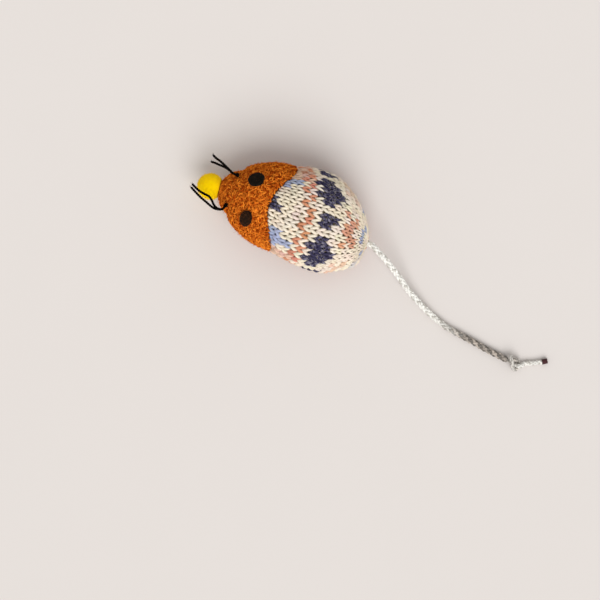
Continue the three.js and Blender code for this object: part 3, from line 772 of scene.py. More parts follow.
def stitch_colours(wale, course, knit):
    """Colour and marl of each stitch by counting wales and courses.

    Hearts stand nine wales apart, and a stitch's distance to the next heart's middle wale is its
    reach. A heart is two lobes at reach one, two full courses up to reach two, and a point. Between
    two hearts lie a small diamond and, at the neck, a mark. The first zigzag steps by odd and even
    reach, and the cream beside it is tinted on both flanks. The second zigzag is three courses deep
    and pales on both flanks. Blue darts lie by the neck, and blue flecks by the tail, which are
    washed out on the left flank. The zigzags' yarn drifts between two colours by a sine of the counts.
    """
    place = wale % 9
    reach = np.abs(place - 4)
    odd = reach % 2 == 1
    navy = (course == 8) & (reach == 1) | np.isin(course, (9, 10)) & (reach <= 2)
    navy |= (course == 11) & (reach <= 1) | (course == 12) & (reach == 0)
    navy |= (place == 0) & np.isin(course, (2, 9, 10))
    navy |= (place == 8) & np.isin(course, (9, 10, 11))
    navy |= (course <= 1) & (reach == 4)
    blue = (reach == 0) & (course >= 2) & (course <= 5) | (reach == 1) & np.isin(course, (2, 3))
    blue |= (course == 17) & (reach >= 3) | (course == 18) & np.isin(place, (5, 6))
    salmon = (course == 6) & odd | (course == 7) & ~odd | (course == 13) & np.isin(reach, (2, 4))
    salmon |= (course == 14) & (reach >= 3) | (course == 15) & np.isin(reach, (2, 3))
    behind = course > 12
    rear = salmon & behind
    pale = rear & (wale <= -6)
    faint = rear & (wale > 5)
    faint |= (wale < -5) & (course >= 4) & (course <= 7) & ~salmon & ~blue
    faint |= (wale > 5) & (course >= 2) & (course <= 6) & ~salmon & ~blue
    washed = blue & behind & (wale > 5)
    drift = (0.5 + 0.5 * np.sin(2.3 * wale + 4.1 * course))[..., None]
    spun = mixed(knit.salmon, knit.tan, 0.5 * drift)
    tint = np.empty(wale.shape + (3,))
    tint[:] = knit.cream
    tint[blue], tint[salmon] = knit.blue, spun[salmon]
    tint[washed] = mixed(knit.blue, knit.cream, 0.6)
    tint[rear] = mixed(spun[rear], knit.cream, 0.13)
    tint[faint] = mixed(spun[faint], knit.cream, 0.5)
    tint[pale] = mixed(spun[pale], knit.cream, 0.7)
    tint[navy] = knit.navy
    return tint, np.where(navy, NAVY_MARL, np.where(blue, BLUE_MARL, 0.0))


def seam_tuck(past_neck, to_flank):
    """How far the yarn dives under near a seam.

    It is a bell curve of the distance to the neck seam, running on as a ramp beyond it, plus one of
    the distance to the flank seam.
    """
    neck = NECK_TUCK * np.exp(-((np.maximum(past_neck, 0) / NECK_TUCK_OVER) ** 2))
    neck = neck + NECK_RAMP * np.clip(-past_neck, 0, 2)
    flank = FLANK_TUCK * np.exp(-((np.maximum(to_flank, 0) / FLANK_TUCK_OVER) ** 2))
    return np.minimum(neck + flank, DEEPEST_TUCK)


def knit_course(course, knit, table, rng):
    """The yarn of one course, as a tube for each stretch of it that lies on the back.

    Over each wale the yarn rises to the loop's head and falls back: along the wale it follows a
    cosine, across it runs evenly plus a sine of twice the turn, which spreads the legs, and its
    height is minus the cosine of twice the turn, so legs lie on top and heads and feet below,
    thinner and darkened by painted shade. The yarn's underside is darkened by painted shade too.
    Near a seam it dives under. The yarn thins where the wales crowd together.
    """
    stations, travelled = table
    pitch, r_full = knit.course / MM, knit.yarn / MM / 2
    limit, end = FLANK_ANGLE - 0.02, travelled[-1] - 1.0
    every = np.linspace(FIRST_WALE, LAST_WALE, int(LAST_WALE - FIRST_WALE) * WALE_POINTS + 1)
    run = (course + COURSE_START - course_bend(every)) * pitch
    level = np.interp(run, travelled, stations)
    phi = wale_angle(every, knit) + wale_shift(level)
    inside = (level > neck_station(phi) - 0.9) & (np.abs(phi) < FLANK_ANGLE - 0.01) & (run < end)
    loose = rng.normal(size=(4, 40)) * np.array(STRAY)[:, None]
    shades = 1 + 0.05 * rng.normal(size=(40, 1)) + 0.022 * rng.normal(size=(40, 3)) * [0.4, 1, 1.5]
    found, parts = np.flatnonzero(inside), []
    for stretch in np.split(found, np.flatnonzero(np.diff(found) > 1) + 1):
        if len(stretch) < WALE_POINTS:
            continue
        count = every[stretch]
        aside, ahead, lift, spread = (np.interp(count, np.arange(-20, 20), row) for row in loose)
        across = count + (LEG_SPREAD + spread) * np.sin(4 * np.pi * count) + aside
        along = course + COURSE_START - course_bend(across)
        along = along + LOOP_REACH * np.cos(2 * np.pi * count) + ahead
        station = np.interp(np.clip(along * pitch, 0, end), travelled, stations)
        phi = wale_angle(across, knit) + wale_shift(station)
        neck = neck_station(phi)
        girth = np.linalg.norm(round_step(station, phi), axis=-1) / (2 * STEP)
        tuck = seam_tuck(station - neck, (limit - np.abs(phi)) * girth)
        station = np.maximum(station, neck + 0.15)
        phi = np.clip(phi, -limit, limit)
        wide = (knit.wale + 2 * WIDEN * np.maximum(count, WIDEN_FROM)) * girth
        radius = np.clip(0.2 * wide, THINNEST_YARN, r_full)
        low = (1 + np.cos(4 * np.pi * count)) / 2
        height = 0.5 * (1 - 2 * low) * radius / r_full + lift
        path = skin(station, phi, radius + KNIT_DEPTH - height + tuck)
        wale = np.round(count).astype(int)
        tint, marl = stitch_colours(wale, np.full(wale.shape, course), knit)
        # Painted shade: heads and feet, which lie low between the legs, are darkened by their depth
        tint = np.clip(tint * shades[wale + 20] * (1 - 0.36 * low ** 2)[:, None], 0, 1)
        up, thin = outward(station, phi), radius * (1 - 0.25 * low)
        # under=0.35 paints shade on the yarn's underside
        parts.append(tubes(path[None], up[None], thin[None], 8, spin=0.35, lobes=0.07, tint=tint[None],
                           marl=marl[None], under=0.35))
    return parts


def rear_grid(rows, columns, middle, half, inset):
    """Stations and angles from the neck seam to the rump, up to half an angle beside a middle one."""
    v, u = np.meshgrid(np.linspace(0, 1, rows), np.linspace(-1, 1, columns), indexing="ij")
    phi = middle + u * half
    start = neck_station(phi) + inset
    return start + (BODY_LENGTH - RUMP_HOLE - start) * (1 - (1 - v) ** BODY_PACE), phi


class MOUSE_OT_knit_back(Operator):
    """Knit the patterned back, course by course, over its backing"""

    bl_idname = "mouse.knit_back"
    bl_label = "Knit Back"

    def execute(self, context):
        knit, rng, table = context.scene.mouse_knit, np.random.default_rng(11), spine_table()
        parts = [part for course in range(-1, 23) for part in knit_course(course, knit, table, rng)]
        inset = 0.35
        grid = rear_grid(40, 60, 0.0, FLANK_ANGLE - inset / HALF_WIDTH, inset)
        # The backing's darker colour is painted shade showing through the holes between the stitches
        parts.append(slab(*grid, KNIT_BACKING, BACKING_UNDER, False, knit.backing))
        yarn = finish("knit_yarn", streak=(1.6, 0.5), bump=0.55, mottle=(0.86, 1.06), grain=1400)
        cloth = finish("knit_backing", mottle=(0.6, 1.0), grain=1200)
        piece = make("back_cover", parts, [yarn, cloth], nodes=["back_panel"])
        count = 1700
        station, phi = scatter(rng, count, "back")
        out = outward(station, phi)
        lean = unit(out + 0.9 * rng.normal(size=out.shape))
        reach, curl = rng.uniform(0.7, 1.6, count), rng.uniform(0.2, 0.9, count)
        tint = np.array(knit.cream) * 0.9
        fuzz = hairs(skin(station, phi, 0.35), lean, reach, curl, radius=0.028, rng=rng, tint=tint)
        above_floor(fuzz["points"])
        wisps = finish("knit_fuzz", bump=0.1, mottle=(0.9, 1.05))
        make("back_fuzz", [fuzz], [wisps])
        return {"FINISHED"}


# The looped cloth of the head and the belly


def scatter(rng, count, region):
    """Random places spread evenly over a cover: weighted by the section's width."""
    if region == "head":
        phi = rng.uniform(-np.pi, np.pi, 6 * count)
        station = neck_station(phi) * rng.uniform(0, 1, len(phi)) ** 1.6
    else:
        on_back = region == "back"
        span = (-FLANK_ANGLE, FLANK_ANGLE) if on_back else (FLANK_ANGLE, 2 * np.pi - FLANK_ANGLE)
        phi = rng.uniform(*span, 6 * count)
        start = neck_station(phi) + 0.4
        end = BODY_LENGTH - (0.15 if on_back else 0.2)
        station = start + (end - start) * (1 - rng.uniform(0, 1, len(phi)) ** 1.5)
    width = np.linalg.norm(round_step(station, phi), axis=-1)
    keep = rng.choice(len(phi), count, replace=False, p=width / width.sum())
    return station[keep], phi[keep]


def even_spots(rng, gap, region):
    """Places in rows a gap apart along a cover and a gap apart round it, each shifted a little.

    A row is a share of the way to the neck seam on the head, and a station on the belly, where the
    first rows follow the neck seam forward.
    """
    head, fine = region == "head", np.linspace(0, 1, 3000)
    if head:
        low, high, span = 0.25, 1.0, (-np.pi, np.pi)
        fine = np.linspace(0.004, high, len(fine)) ** 1.5
        points = surface(fine * 22, np.full(len(fine), 1.2))
    else:
        low, high = NECK_SIDE + 0.3, BODY_LENGTH - 0.25
        span = (FLANK_ANGLE + 0.02, 2 * np.pi - FLANK_ANGLE - 0.02)
        fine = low + (high - low) * (1 - (1 - fine) ** 2)
        points = surface(fine, np.full(len(fine), 2.4))
    run, ring, found = run_along(points), np.linspace(*span, 400), []
    for row in np.interp(np.arange(0, run[-1], gap), run, fine):
        across = run_along(surface(row * neck_station(ring) if head else row, ring))
        count = max(3, int(across[-1] / gap))
        spots = (np.arange(count) + rng.uniform(0, 1)) / count * across[-1]
        wide = max(across[-1] / 6, 1)
        phi = np.interp(spots, across, ring) + rng.normal(size=count) * 0.25 * gap / wide
        shift = rng.normal(size=count) * 0.35 * gap
        if head:
            station = row * neck_station(phi) + shift
        else:
            station = row + shift - (NECK_SIDE - neck_station(phi)) * max(0, 1 - (row - low) / 5)
        found.append(np.stack([station, phi]))
    station, phi = np.concatenate(found, 1)
    neck = neck_station(phi)
    return np.clip(station, low, neck + 0.15) if head else np.clip(station, neck + 0.3, high), phi


def rump_draw(station):
    """How much deeper the brown cloth lies by the rump, where the knit is thin: a straight ramp."""
    return RUMP_DRAW * np.clip((station - BODY_LENGTH + RUMP_DRAW_FROM) / RUMP_DRAW_OVER, 0, 1)


def pile(station, phi, settings, rng):
    """Loops of yarn: each rises out of the cloth by a quartic and bows aside by a parabola."""
    count, r = len(station), settings.yarn / MM / 2
    out = outward(station, phi)
    around = unit(round_step(station, phi))
    turn = rng.normal(size=count) * 1.1
    ahead = np.cos(turn)[:, None] * around + np.sin(turn)[:, None] * np.cross(out, around)
    aside = np.cross(out, ahead)
    q = np.linspace(-1, 1, 6)[None, :, None]
    long = settings.loop / MM / 2 * rng.uniform(0.7, 1.25, count)[:, None, None]
    bow = rng.normal(size=count)[:, None, None] * 0.3
    high = rng.uniform(0.55, 0.95, count)[:, None, None]
    root = skin(station, phi, PILE_DEPTH + rump_draw(station))[:, None]
    path = root + long * (q + 0.2 * np.sin(np.pi * q)) * ahead[:, None]
    path = path + bow * (1 - q ** 2) * aside[:, None] + high * (1 - q ** 4) * out[:, None]
    mix = np.clip(rng.normal(size=count) * 0.36 + 0.42, 0, 1)[:, None]
    tint = mixed(settings.dark, settings.light, mix)
    return tubes(above_floor(path, r + FLOOR_GAP), out[:, None], r, 4, spin=0.5, tint=tint)


def head_grid(rows, columns):
    """Stations and angles over the head, from the snout tip to the neck seam, all the way round."""
    v, u = np.meshgrid(np.linspace(0, 1, rows), np.arange(columns) / columns, indexing="ij")
    phi = 2 * np.pi * u
    return SNOUT_HOLE + (neck_station(phi) - 0.3 - SNOUT_HOLE) * v ** HEAD_PACE, phi


class MOUSE_OT_loop_covers(Operator):
    """Cover the head and the belly with brown looped cloth"""

    bl_idname = "mouse.loop_covers"
    bl_label = "Loop Head and Belly"

    def execute(self, context):
        settings, rng = context.scene.mouse_pile, np.random.default_rng(23)
        yarn = finish("brown_loops", streak=(3, 2.0), sheen=0.0, bump=0.5, mottle=(0.7, 1.12),
                      grain=1100)
        cloth = finish("brown_backing", mottle=(0.55, 1.0), grain=1300)
        wisps = finish("brown_fuzz", bump=0.1, sheen=0.0, mottle=(0.8, 1.1))
        under = rear_grid(30, 50, np.pi, np.pi - FLANK_ANGLE - 0.02, 0.3)
        for name, grid, ring, gap, count, longest in (
            ("head", head_grid(30, 72), True, 1.0, 2600, 1.4),
            ("belly", under, False, 1.12, 1200, 0.8),
        ):
            station, phi = even_spots(rng, settings.gap / MM * gap, name)
            loops = pile(station, phi, settings, rng)
            top = PILE_BACKING + rump_draw(grid[0])
            backing = slab(*grid, top, BACKING_UNDER, ring, settings.backing)
            piece = make(f"{name}_cover", [loops, backing], [yarn, cloth], nodes=[f"{name}_panel"])
            station, phi = scatter(rng, count, name)
            out = outward(station, phi)
            lean = unit(out + 0.7 * rng.normal(size=out.shape))
            tint = mixed(settings.dark, settings.light, rng.uniform(0, 1, (count, 1)))
            root = skin(station, phi, 0.25 + rump_draw(station))
            reach, curl = rng.uniform(0.4, 1.0, count) * longest, rng.uniform(0.2, 1.0, count)
            wisp = hairs(root, lean, reach, curl, radius=0.055, rng=rng, tint=tint)
            above_floor(wisp["points"])
            make(f"{name}_fuzz", [wisp], [wisps])
        return {"FINISHED"}


class MOUSE_OT_stuff(Operator):
    """Stuff the covers: they swell between their seams under the pressure of the filling"""

    bl_idname = "mouse.stuff"
    bl_label = "Stuff Covers"

    def execute(self, context):
        fill = context.scene.mouse_fill
        STUFFED["grid"] = stuffed_by_cloth(fill)
        grid = STUFFED["grid"]
        print(f"stuffing stands {grid.min():.2f} to {grid.max():.2f} mm out of the plain form")
        return {"FINISHED"}


class MOUSE_OT_filling(Operator):
    """Put the fibre filling and the catnip inside"""

    bl_idname = "mouse.filling"
    bl_label = "Filling"

    def execute(self, context):
        fill, rng = context.scene.mouse_fill, np.random.default_rng(5)
        fibre = finish("fibre_filling", bump=0.9, sheen=0.5, mottle=(0.8, 1.05), grain=350)
        leaf = finish("dried_leaf", bump=1.0, sheen=0.0, mottle=(0.45, 1.25), grain=900)
        split, gap = NOSE_HEIGHT + 0.6, 0.15
        v, u = np.meshgrid(np.linspace(0, 1, 40), np.arange(64) / 64, indexing="ij")
        station = 0.6 + (BODY_LENGTH - 0.9) * (1 - np.cos(np.pi * v)) / 2
        lump = 0.35 * np.sin(9 * np.pi * v + 3 * np.sin(4 * np.pi * u)) * np.sin(14 * np.pi * u)
        form = skin(station, 2 * np.pi * u, FILLING_DEPTH + lump)
        heights = {
            "upper": np.maximum(form[..., 2], split + gap),
            "lower": np.minimum(form[..., 2], split - gap),
        }
        for name, height in heights.items():
            half = np.stack([form[..., 0], form[..., 1], height], -1)
            make(f"filling_{name}", [ringed(half, fill.fibre)], [fibre], nodes=[f"fibre_fill_{name}"])
        low, high = (np.array(c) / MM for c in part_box("catnip_wad"))
        way = ball(30, 48, 0.06)
        rough = 0.97 + 0.03 * rng.normal(size=way.shape[:2] + (1,))
        wad = (low + high) / 2 + way * (high - low) / 2 * np.clip(rough, 0.85, 1.0)
        make("catnip", [ringed(wad, fill.catnip)], [leaf], nodes=["catnip_wad"])
        return {"FINISHED"}


# Threads


def plied(path, radius, lay, tint, sides=5, plies=2):
    """A thread of plies that wind round each other: each follows a helix about the path."""
    up = steady_up(path)
    aside = np.cross(unit(np.gradient(path, axis=0)), up)
    turn = 2 * np.pi * (run_along(path) / lay + np.arange(plies)[:, None] / plies)
    off = radius * PLY_OFF
    paths = path + off * (np.cos(turn)[..., None] * aside + np.sin(turn)[..., None] * up)
    return tubes(paths, up, radius * PLY_RADIUS, sides, spin=0.6, tint=tint)


class MOUSE_OT_seams(Operator):
    """Sew the neck seam and the two flank seams"""

    bl_idname = "mouse.seams"
    bl_label = "Seams"

    def execute(self, context):
        face = context.scene.mouse_face
        thread = finish("seam_yarn", streak=(4, 2), bump=0.5)
        phi = np.linspace(np.pi + 0.03, 3 * np.pi - 0.03, 500)
        routes = {"neck_seam": (neck_station(phi), phi)}
        for side, angle in (("left", FLANK_ANGLE), ("right", -FLANK_ANGLE)):
            start = neck_station(angle) + 0.65
            station = start + (SEAM_END - start) * np.sin(np.linspace(0, np.pi / 2, 220))
            routes[f"flank_seam_{side}"] = (station, np.full(len(station), angle))
        for name, (station, phi) in routes.items():
            run = run_along(skin(station, phi, SEAM_DEPTH))
            dip = STITCH_DIP * np.cos(2 * np.pi * run / STITCH_LENGTH)
            path = above_floor(skin(station, phi, SEAM_DEPTH + dip), 0.2)
            path = even(path, int(run[-1] / 0.28))
            node = name.replace("_seam", "_seam_thread")
            twine = plied(path, radius=0.18, lay=0.9, tint=face.brown, sides=4)
            make(name, [twine], [thread], nodes=[node])
        return {"FINISHED"}


# The face


def felt_eye(place, cut, face, rng):
    """A felt disc laid on the head, with loose fibres on it.

    Its rings lie about the eye's middle, thick inside and rounded off at the rim. It is cut longer
    one way than the other. The cut's third number is the share of its fibres that are brown, and
    tints the felt too.
    """
    station0, phi0 = place
    ahead = surface(station0 + STEP, phi0) - surface(station0 - STEP, phi0)
    long = np.linalg.norm(ahead) / (2 * STEP) / cut[0]
    wide = np.linalg.norm(round_step(station0, phi0)) / (2 * STEP) / cut[1]
    radius = face.eye / MM / 2
    turn = np.arange(48) / 48 * 2 * np.pi
    ragged = 1 + 0.02 * np.sin(5 * turn + 9 * phi0) + 0.015 * np.sin(11 * turn)
    reach = radius * np.array(EYE_SHARE)[:, None] * ragged
    station = station0 - reach * np.cos(turn) / long
    phi = phi0 + reach * np.sin(turn) / wide
    disc = skin(station, phi, -0.2 - np.array(EYE_RISE)[:, None])
    felt = np.array(face.felt) + 0.09 * cut[2] * np.array(face.brown)
    away = radius * np.sqrt(rng.uniform(0, 1, EYE_FIBRES))
    spin = rng.uniform(0, 2 * np.pi, EYE_FIBRES)
    station = station0 - away * np.cos(spin) / long
    phi = phi0 + away * np.sin(spin) / wide
    out = outward(station, phi)
    lean = unit(0.35 * out + rng.normal(size=out.shape))
    root = skin(station, phi, np.where(away > 0.9 * radius, -0.7, -1.3))
    tint = np.array(face.felt) * rng.uniform(0.6, 2.6, (EYE_FIBRES, 1))
    tint = np.where(rng.uniform(0, 1, (EYE_FIBRES, 1)) < cut[2], face.brown, tint)
    reach, curl = rng.uniform(0.2, 0.5, EYE_FIBRES), rng.uniform(0, 1, EYE_FIBRES)
    fibres = hairs(root, lean, reach, curl, radius=0.03, rng=rng, tint=tint)
    return [ringed(disc, felt), fibres]


def whisker_root(side):
    """Where a cheek's whiskers are knotted, just off the head."""
    phi = WHISKER_ANGLE if side == "left" else -WHISKER_ANGLE
    return surface(WHISKER_STATION, phi) + WHISKER_RISE * outward(WHISKER_STATION, phi)


def whisker_path(name):
    """The route of one whisker: a curve from inside its knot through its points."""
    side, row = name.split("_")
    root = whisker_root(side) + [0, 0, WHISKER_PITCH * (0.5 if row == "upper" else -0.5)]
    points = root + np.array(WHISKERS[name], float)
    start = whisker_root(side) + unit(points[0] - whisker_root(side)) * 0.4
    return spline(np.concatenate([[start], points]), 90)


def clear_of_snout(points, gap=0.4):
    """Moves points forward out of the snout: its front is where it is as wide as they lie aside."""
    aside, up = points[..., 1] / HALF_WIDTH, points[..., 2] - NOSE_HEIGHT - 0.2
    wide = np.hypot(aside, up / np.where(up > 0, BACK_RISE, BELLY_DEPTH))
    share = 1 - np.sqrt(1 - np.clip(wide, 0, 0.99) ** (1 / SNOUT_POWER))
    front = SNOUT_TO_WIDEST * (1 - share) + gap
    return np.stack([np.maximum(points[..., 0], front), points[..., 1], points[..., 2]], -1)


class MOUSE_OT_face(Operator):
    """Add the felt eyes, the pompom nose and the whiskers with their knots"""

    bl_idname = "mouse.face"
    bl_label = "Face"

    def execute(self, context):
        face, rng = context.scene.mouse_face, np.random.default_rng(31)
        felt = finish("black_felt", bump=0.8, sheen=0.02, mottle=(0.5, 1.5), grain=1600)
        wool = finish("yellow_wool", bump=0.4, sheen=0.06, mottle=(0.97, 1.04), grain=700)
        thread = finish("whisker_yarn", streak=(4, 2.2), sheen=0.0, shine=0.0, bump=0.5,
                        mottle=(0.7, 1.3))
        for side, place in EYES.items():
            parts = felt_eye(place, EYE_CUT[side], face, rng)
            make(f"felt_eye_{side}", parts, [felt], nodes=[f"eye_{side}"])
        self.pompom(face, rng, wool)
        for name in WHISKERS:
            path, count = whisker_path(name), 7
            lead = unit(path[-1] - path[-4])
            spread = unit(lead + 0.35 * rng.normal(size=(count, 3)))
            reach, curl = rng.uniform(0.6, 1.3, count), rng.uniform(0, 0.5, count)
            root = np.repeat(path[-1:], count, 0) - lead * 0.3
            fray = hairs(root, spread, reach, curl, radius=0.05, rng=rng, tint=face.black)
            twine = plied(path, radius=face.whisker / MM / 2, lay=1.6, tint=face.black, sides=6)
            side = name.split("_")[0]
            make(f"whisker_thread_{name}", [twine, fray], [thread], f"whiskers_{side}",
                 [f"whisker_{name}"])
        for side in ("left", "right"):
            path = whisker_root(side) + trefoil(120, size=0.17, depth=1.2)
            wound = plied(path, radius=0.42, lay=1.2, tint=face.black)
            make(f"whisker_wound_{side}", [wound], [thread], f"whiskers_{side}",
                 [f"whisker_knot_{side}"])
        self.hidden_threads(face, thread)
        return {"FINISHED"}

    @staticmethod
    def pompom(face, rng, wool):
        """A woolly ball: a lumpy core, and fibres that leave it and lie over to every side.

        What would lie in the snout is moved forward, so the ball's back is dished by the snout.
        """
        radius, count = face.pompom / MM / 2, 4200
        nose = np.array([SNOUT_TO_WIDEST, 0, NOSE_HEIGHT])
        centre = nose + POMPOM_PLACE
        way = ball(60, 90, 0.04)
        x, y, z = np.moveaxis(way, -1, 0)
        lump = 1 + 0.004 * np.sin(15 * x + 4 * y) + 0.004 * np.sin(9 * z + 5 * y)
        core = clear_of_snout(centre + way * (radius - 0.4) * lump[..., None])
        out = unit(rng.normal(size=(count, 3)))
        lean = unit(out * 0.35 + 0.8 * unit(rng.normal(size=out.shape)))
        tint = np.clip(np.array(face.yellow) * rng.uniform(0.94, 1.04, (count, 1)), 0, 1)
        reach, curl = rng.uniform(0.45, 0.8, count), rng.uniform(0, 0.8, count)
        root = centre + out * (radius - 0.5)
        wisps = hairs(root, lean, reach, curl, radius=0.03, rng=rng, tint=tint)
        off = wisps["points"] - centre
        far = np.linalg.norm(off, axis=1, keepdims=True)
        wisps["points"] = clear_of_snout(centre + off * np.minimum(1, (radius + 0.1) / far))
        parts = [ringed(core, face.yellow), wisps]
        piece = make("pompom", parts, [wool], None, ["nose_pompom"])
        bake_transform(piece)

    @staticmethod
    def hidden_threads(face, thread):
        """The threads inside the head: the pompom's tie with its knot, and the whiskers' crossing."""
        x = SNOUT_TO_WIDEST - np.linspace(0, 6, 60)
        path = np.stack([x, 0 * x, 0 * x + NOSE_HEIGHT], -1)
        tie = plied(path, radius=0.3, lay=1.4, tint=face.black)
        knot = plied(trefoil(80, size=0.2) + path[-1], radius=0.22, lay=1.2, tint=face.black)
        make("nose_tie", [tie, knot], [thread], nodes=["nose_tie_thread"])
        depth = np.array([0, 2.5, 5])
        sides = [(WHISKER_STATION, s * WHISKER_ANGLE) for s in (1, -1)]
        dive = [surface(*place) - depth[:, None] * outward(*place) for place in sides]
        path = spline(np.concatenate([dive[0], dive[1][::-1]]), 110)
        crossing = plied(path, radius=0.35, lay=1.6, tint=face.black)
        make("whisker_crossing", [crossing], [thread], nodes=["whisker_cross_thread"])


# The tail


def tail_points(route):
    """Points of the tail's route: back from the rump, to the left, and a share of the rump's height."""
    back, left, share = np.array(route, float).T
    high = AXIS_HEIGHT - RUMP_DROP
    return np.stack([RUMP_X - back, left, TAIL_RADIUS + share * (high - TAIL_RADIUS)], -1)


def tail_routes():
    """The centre lines of the tail's root, its long run and its knot with the free end."""
    pivot = np.array([[RUMP_X - TAIL_OUT, 0, AXIS_HEIGHT - RUMP_DROP]])
    stub = np.concatenate([pivot, tail_points(TAIL_STUB_ROUTE)])
    lift = stub[-1] + unit(stub[-1] - stub[-2]) * (TAIL_RADIUS + CLEARANCE)
    run = np.concatenate([lift[None], tail_points(TAIL_ROUTE)])
    along = run[-1] - run[-2]
    along = unit(np.array([along[0], along[1], 0]))
    aside = np.array([along[1], -along[0], 0])
    half = np.array(KNOT_HALF, float)
    steps = np.concatenate([half, [[0, 0.75, 0.75]], (half * [-1, 1, 1])[::-1][:, [0, 2, 1]]])
    centre = np.array([run[-1][0], run[-1][1], KNOT_RADIUS * 1.1 - steps[:, 2].min() * KNOT_PITCH])
    centre = centre + along * (CLEARANCE - half[0, 0] * KNOT_PITCH)
    turn = steps * KNOT_PITCH
    knot = centre + turn[:, :1] * along + turn[:, 1:2] * aside + turn[:, 2:] * [0, 0, 1]
    end = np.array([[RUMP_X - back, left, KNOT_RADIUS] for back, left in TAIL_END_ROUTE])
    return stub, lift, run, np.concatenate([knot, end])


def braid(path, radius, lay, tail, phase=0.0, dusk=0.0):
    """A round braid of eight strands: four wind one way and four the other.

    A strand's angle grows with the distance along the cord, and it rises and dips by a cosine of
    four times that angle, so that it passes over one strand and under the next. dusk is how far the
    colours have turned from silver to dark and light flecks at each point of the path, a painted
    shade that darkens the cord towards its knot.
    """
    up = steady_up(path)
    along = unit(np.gradient(path, axis=0))
    aside = np.cross(along, up)
    run = run_along(path)
    psi = 2 * np.pi * run / lay + phase
    way = np.repeat([1.0, -1.0], 4)[:, None]
    theta = way * psi + np.tile(np.arange(4) * np.pi / 2, 2)[:, None]
    radius = np.broadcast_to(radius, run.shape)
    strand = radius * 0.4
    rise = radius - strand + way * 0.12 * radius * np.cos(4 * psi) - 0.1 * radius
    out = np.cos(theta)[..., None] * aside + np.sin(theta)[..., None] * up
    bright = np.array([tail.silver, tail.silver, tail.grey, tail.silver] * 2)[:, None]
    share = np.broadcast_to(dusk, run.shape)[None, :, None]
    flecked = np.array([0.35, 1.5, 0.45, 1.0] * 2)[:, None, None]
    tint = bright * (1 - share) + np.array(tail.dusk) * share * flecked
    # The cord has a core, but its darkness, 0.35 of the grey, is painted shade in the gaps between the
    # strands
    core = tubes(path[None], up[None], radius * 0.6, 8, tint=np.array(tail.grey) * 0.35)
    strands = tubes(path + rise[..., None] * out, out, strand, 6, spin=0.5, tint=tint)
    return [strands, core], psi[-1]


class MOUSE_OT_tail(Operator):
    """Braid the tail: its root in the rump, its long run, and its knot with the free end"""

    bl_idname = "mouse.tail"
    bl_label = "Tail"

    def execute(self, context):
        tail = context.scene.mouse_tail
        cord = finish("tail_braid", streak=(5, 3), sheen=0.1, roughness=0.7, bump=0.5,
                      mottle=(0.75, 1.15), grain=1500)
        stub, lift, run, knot = tail_routes()
        lay = tail.lay / MM
        anchor = np.array([RUMP_X + ROOT_DEPTH, 0, AXIS_HEIGHT - RUMP_DROP])
        inside = stub[:1] + [1.4, 0, 0]
        inner = even(np.array([anchor, inside[0] + [0.1, 0, 0]]), 40)
        held, _ = braid(trefoil(90, ROOT_KNOT_SIZE) + anchor, ROOT_KNOT_RADIUS, lay, tail)
        root, _ = braid(inner, TAIL_RADIUS, lay, tail)
        make("tail_root_knot", root + held, [cord], nodes=["tail_anchor"])
        line = spline(np.concatenate([inside, stub, run]), 420)
        line = above_floor(line, TAIL_RADIUS * 1.03)
        cut = int(np.argmin(np.linalg.norm(line - lift, axis=1)))
        line_stub, line_run = line[:cut + 1], line[cut:]
        parts, phase = braid(line_stub, TAIL_RADIUS, lay, tail)
        piece_stub = make("tail_root", parts, [cord], None, ["tail_stub"])
        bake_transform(piece_stub)
        # Painted shade: the run darkens towards the knot
        dusk = np.interp(np.linspace(0, 1, len(line_run)), [0.5, 0.72], [0, 0.9])
        parts, phase = braid(line_run, TAIL_RADIUS, lay, tail, phase, dusk)
        piece_run = make("tail_run", parts, [cord], None, ["tail_cord"])
        piece_knot = self.end_knot(knot, lay, tail, phase, cord)
        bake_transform(piece_run)
        return {"FINISHED"}

    @staticmethod
    def end_knot(knot, lay, tail, phase, cord):
        """The knot and the free end, which is fuller, with a dark tip where it was cut."""
        line = spline(knot, 260)
        share = np.linspace(0, 1, len(line))
        fuller = KNOT_RADIUS * np.interp(share, [0, 0.6, 0.75], [1.15, 1.15, 1.5])
        line = above_floor(line, fuller * 1.07)
        # Painted shade: the knot is darkest where it starts and lightens towards the free end
        parts, _ = braid(line, fuller, lay * 0.7, tail, phase, np.interp(share, [0.1, 0.6], [0.7, 0.1]))
        tip = even(np.concatenate([line[-15:], 2 * line[-1:] - line[-2:-1]]), 14)
        parts.append(tubes(tip[None], steady_up(tip)[None], KNOT_RADIUS * 1.58, 10, tint=tail.dark))
        return make("tail_end_knot", parts, [cord], "tail", ["tail_knot"])


# Stage


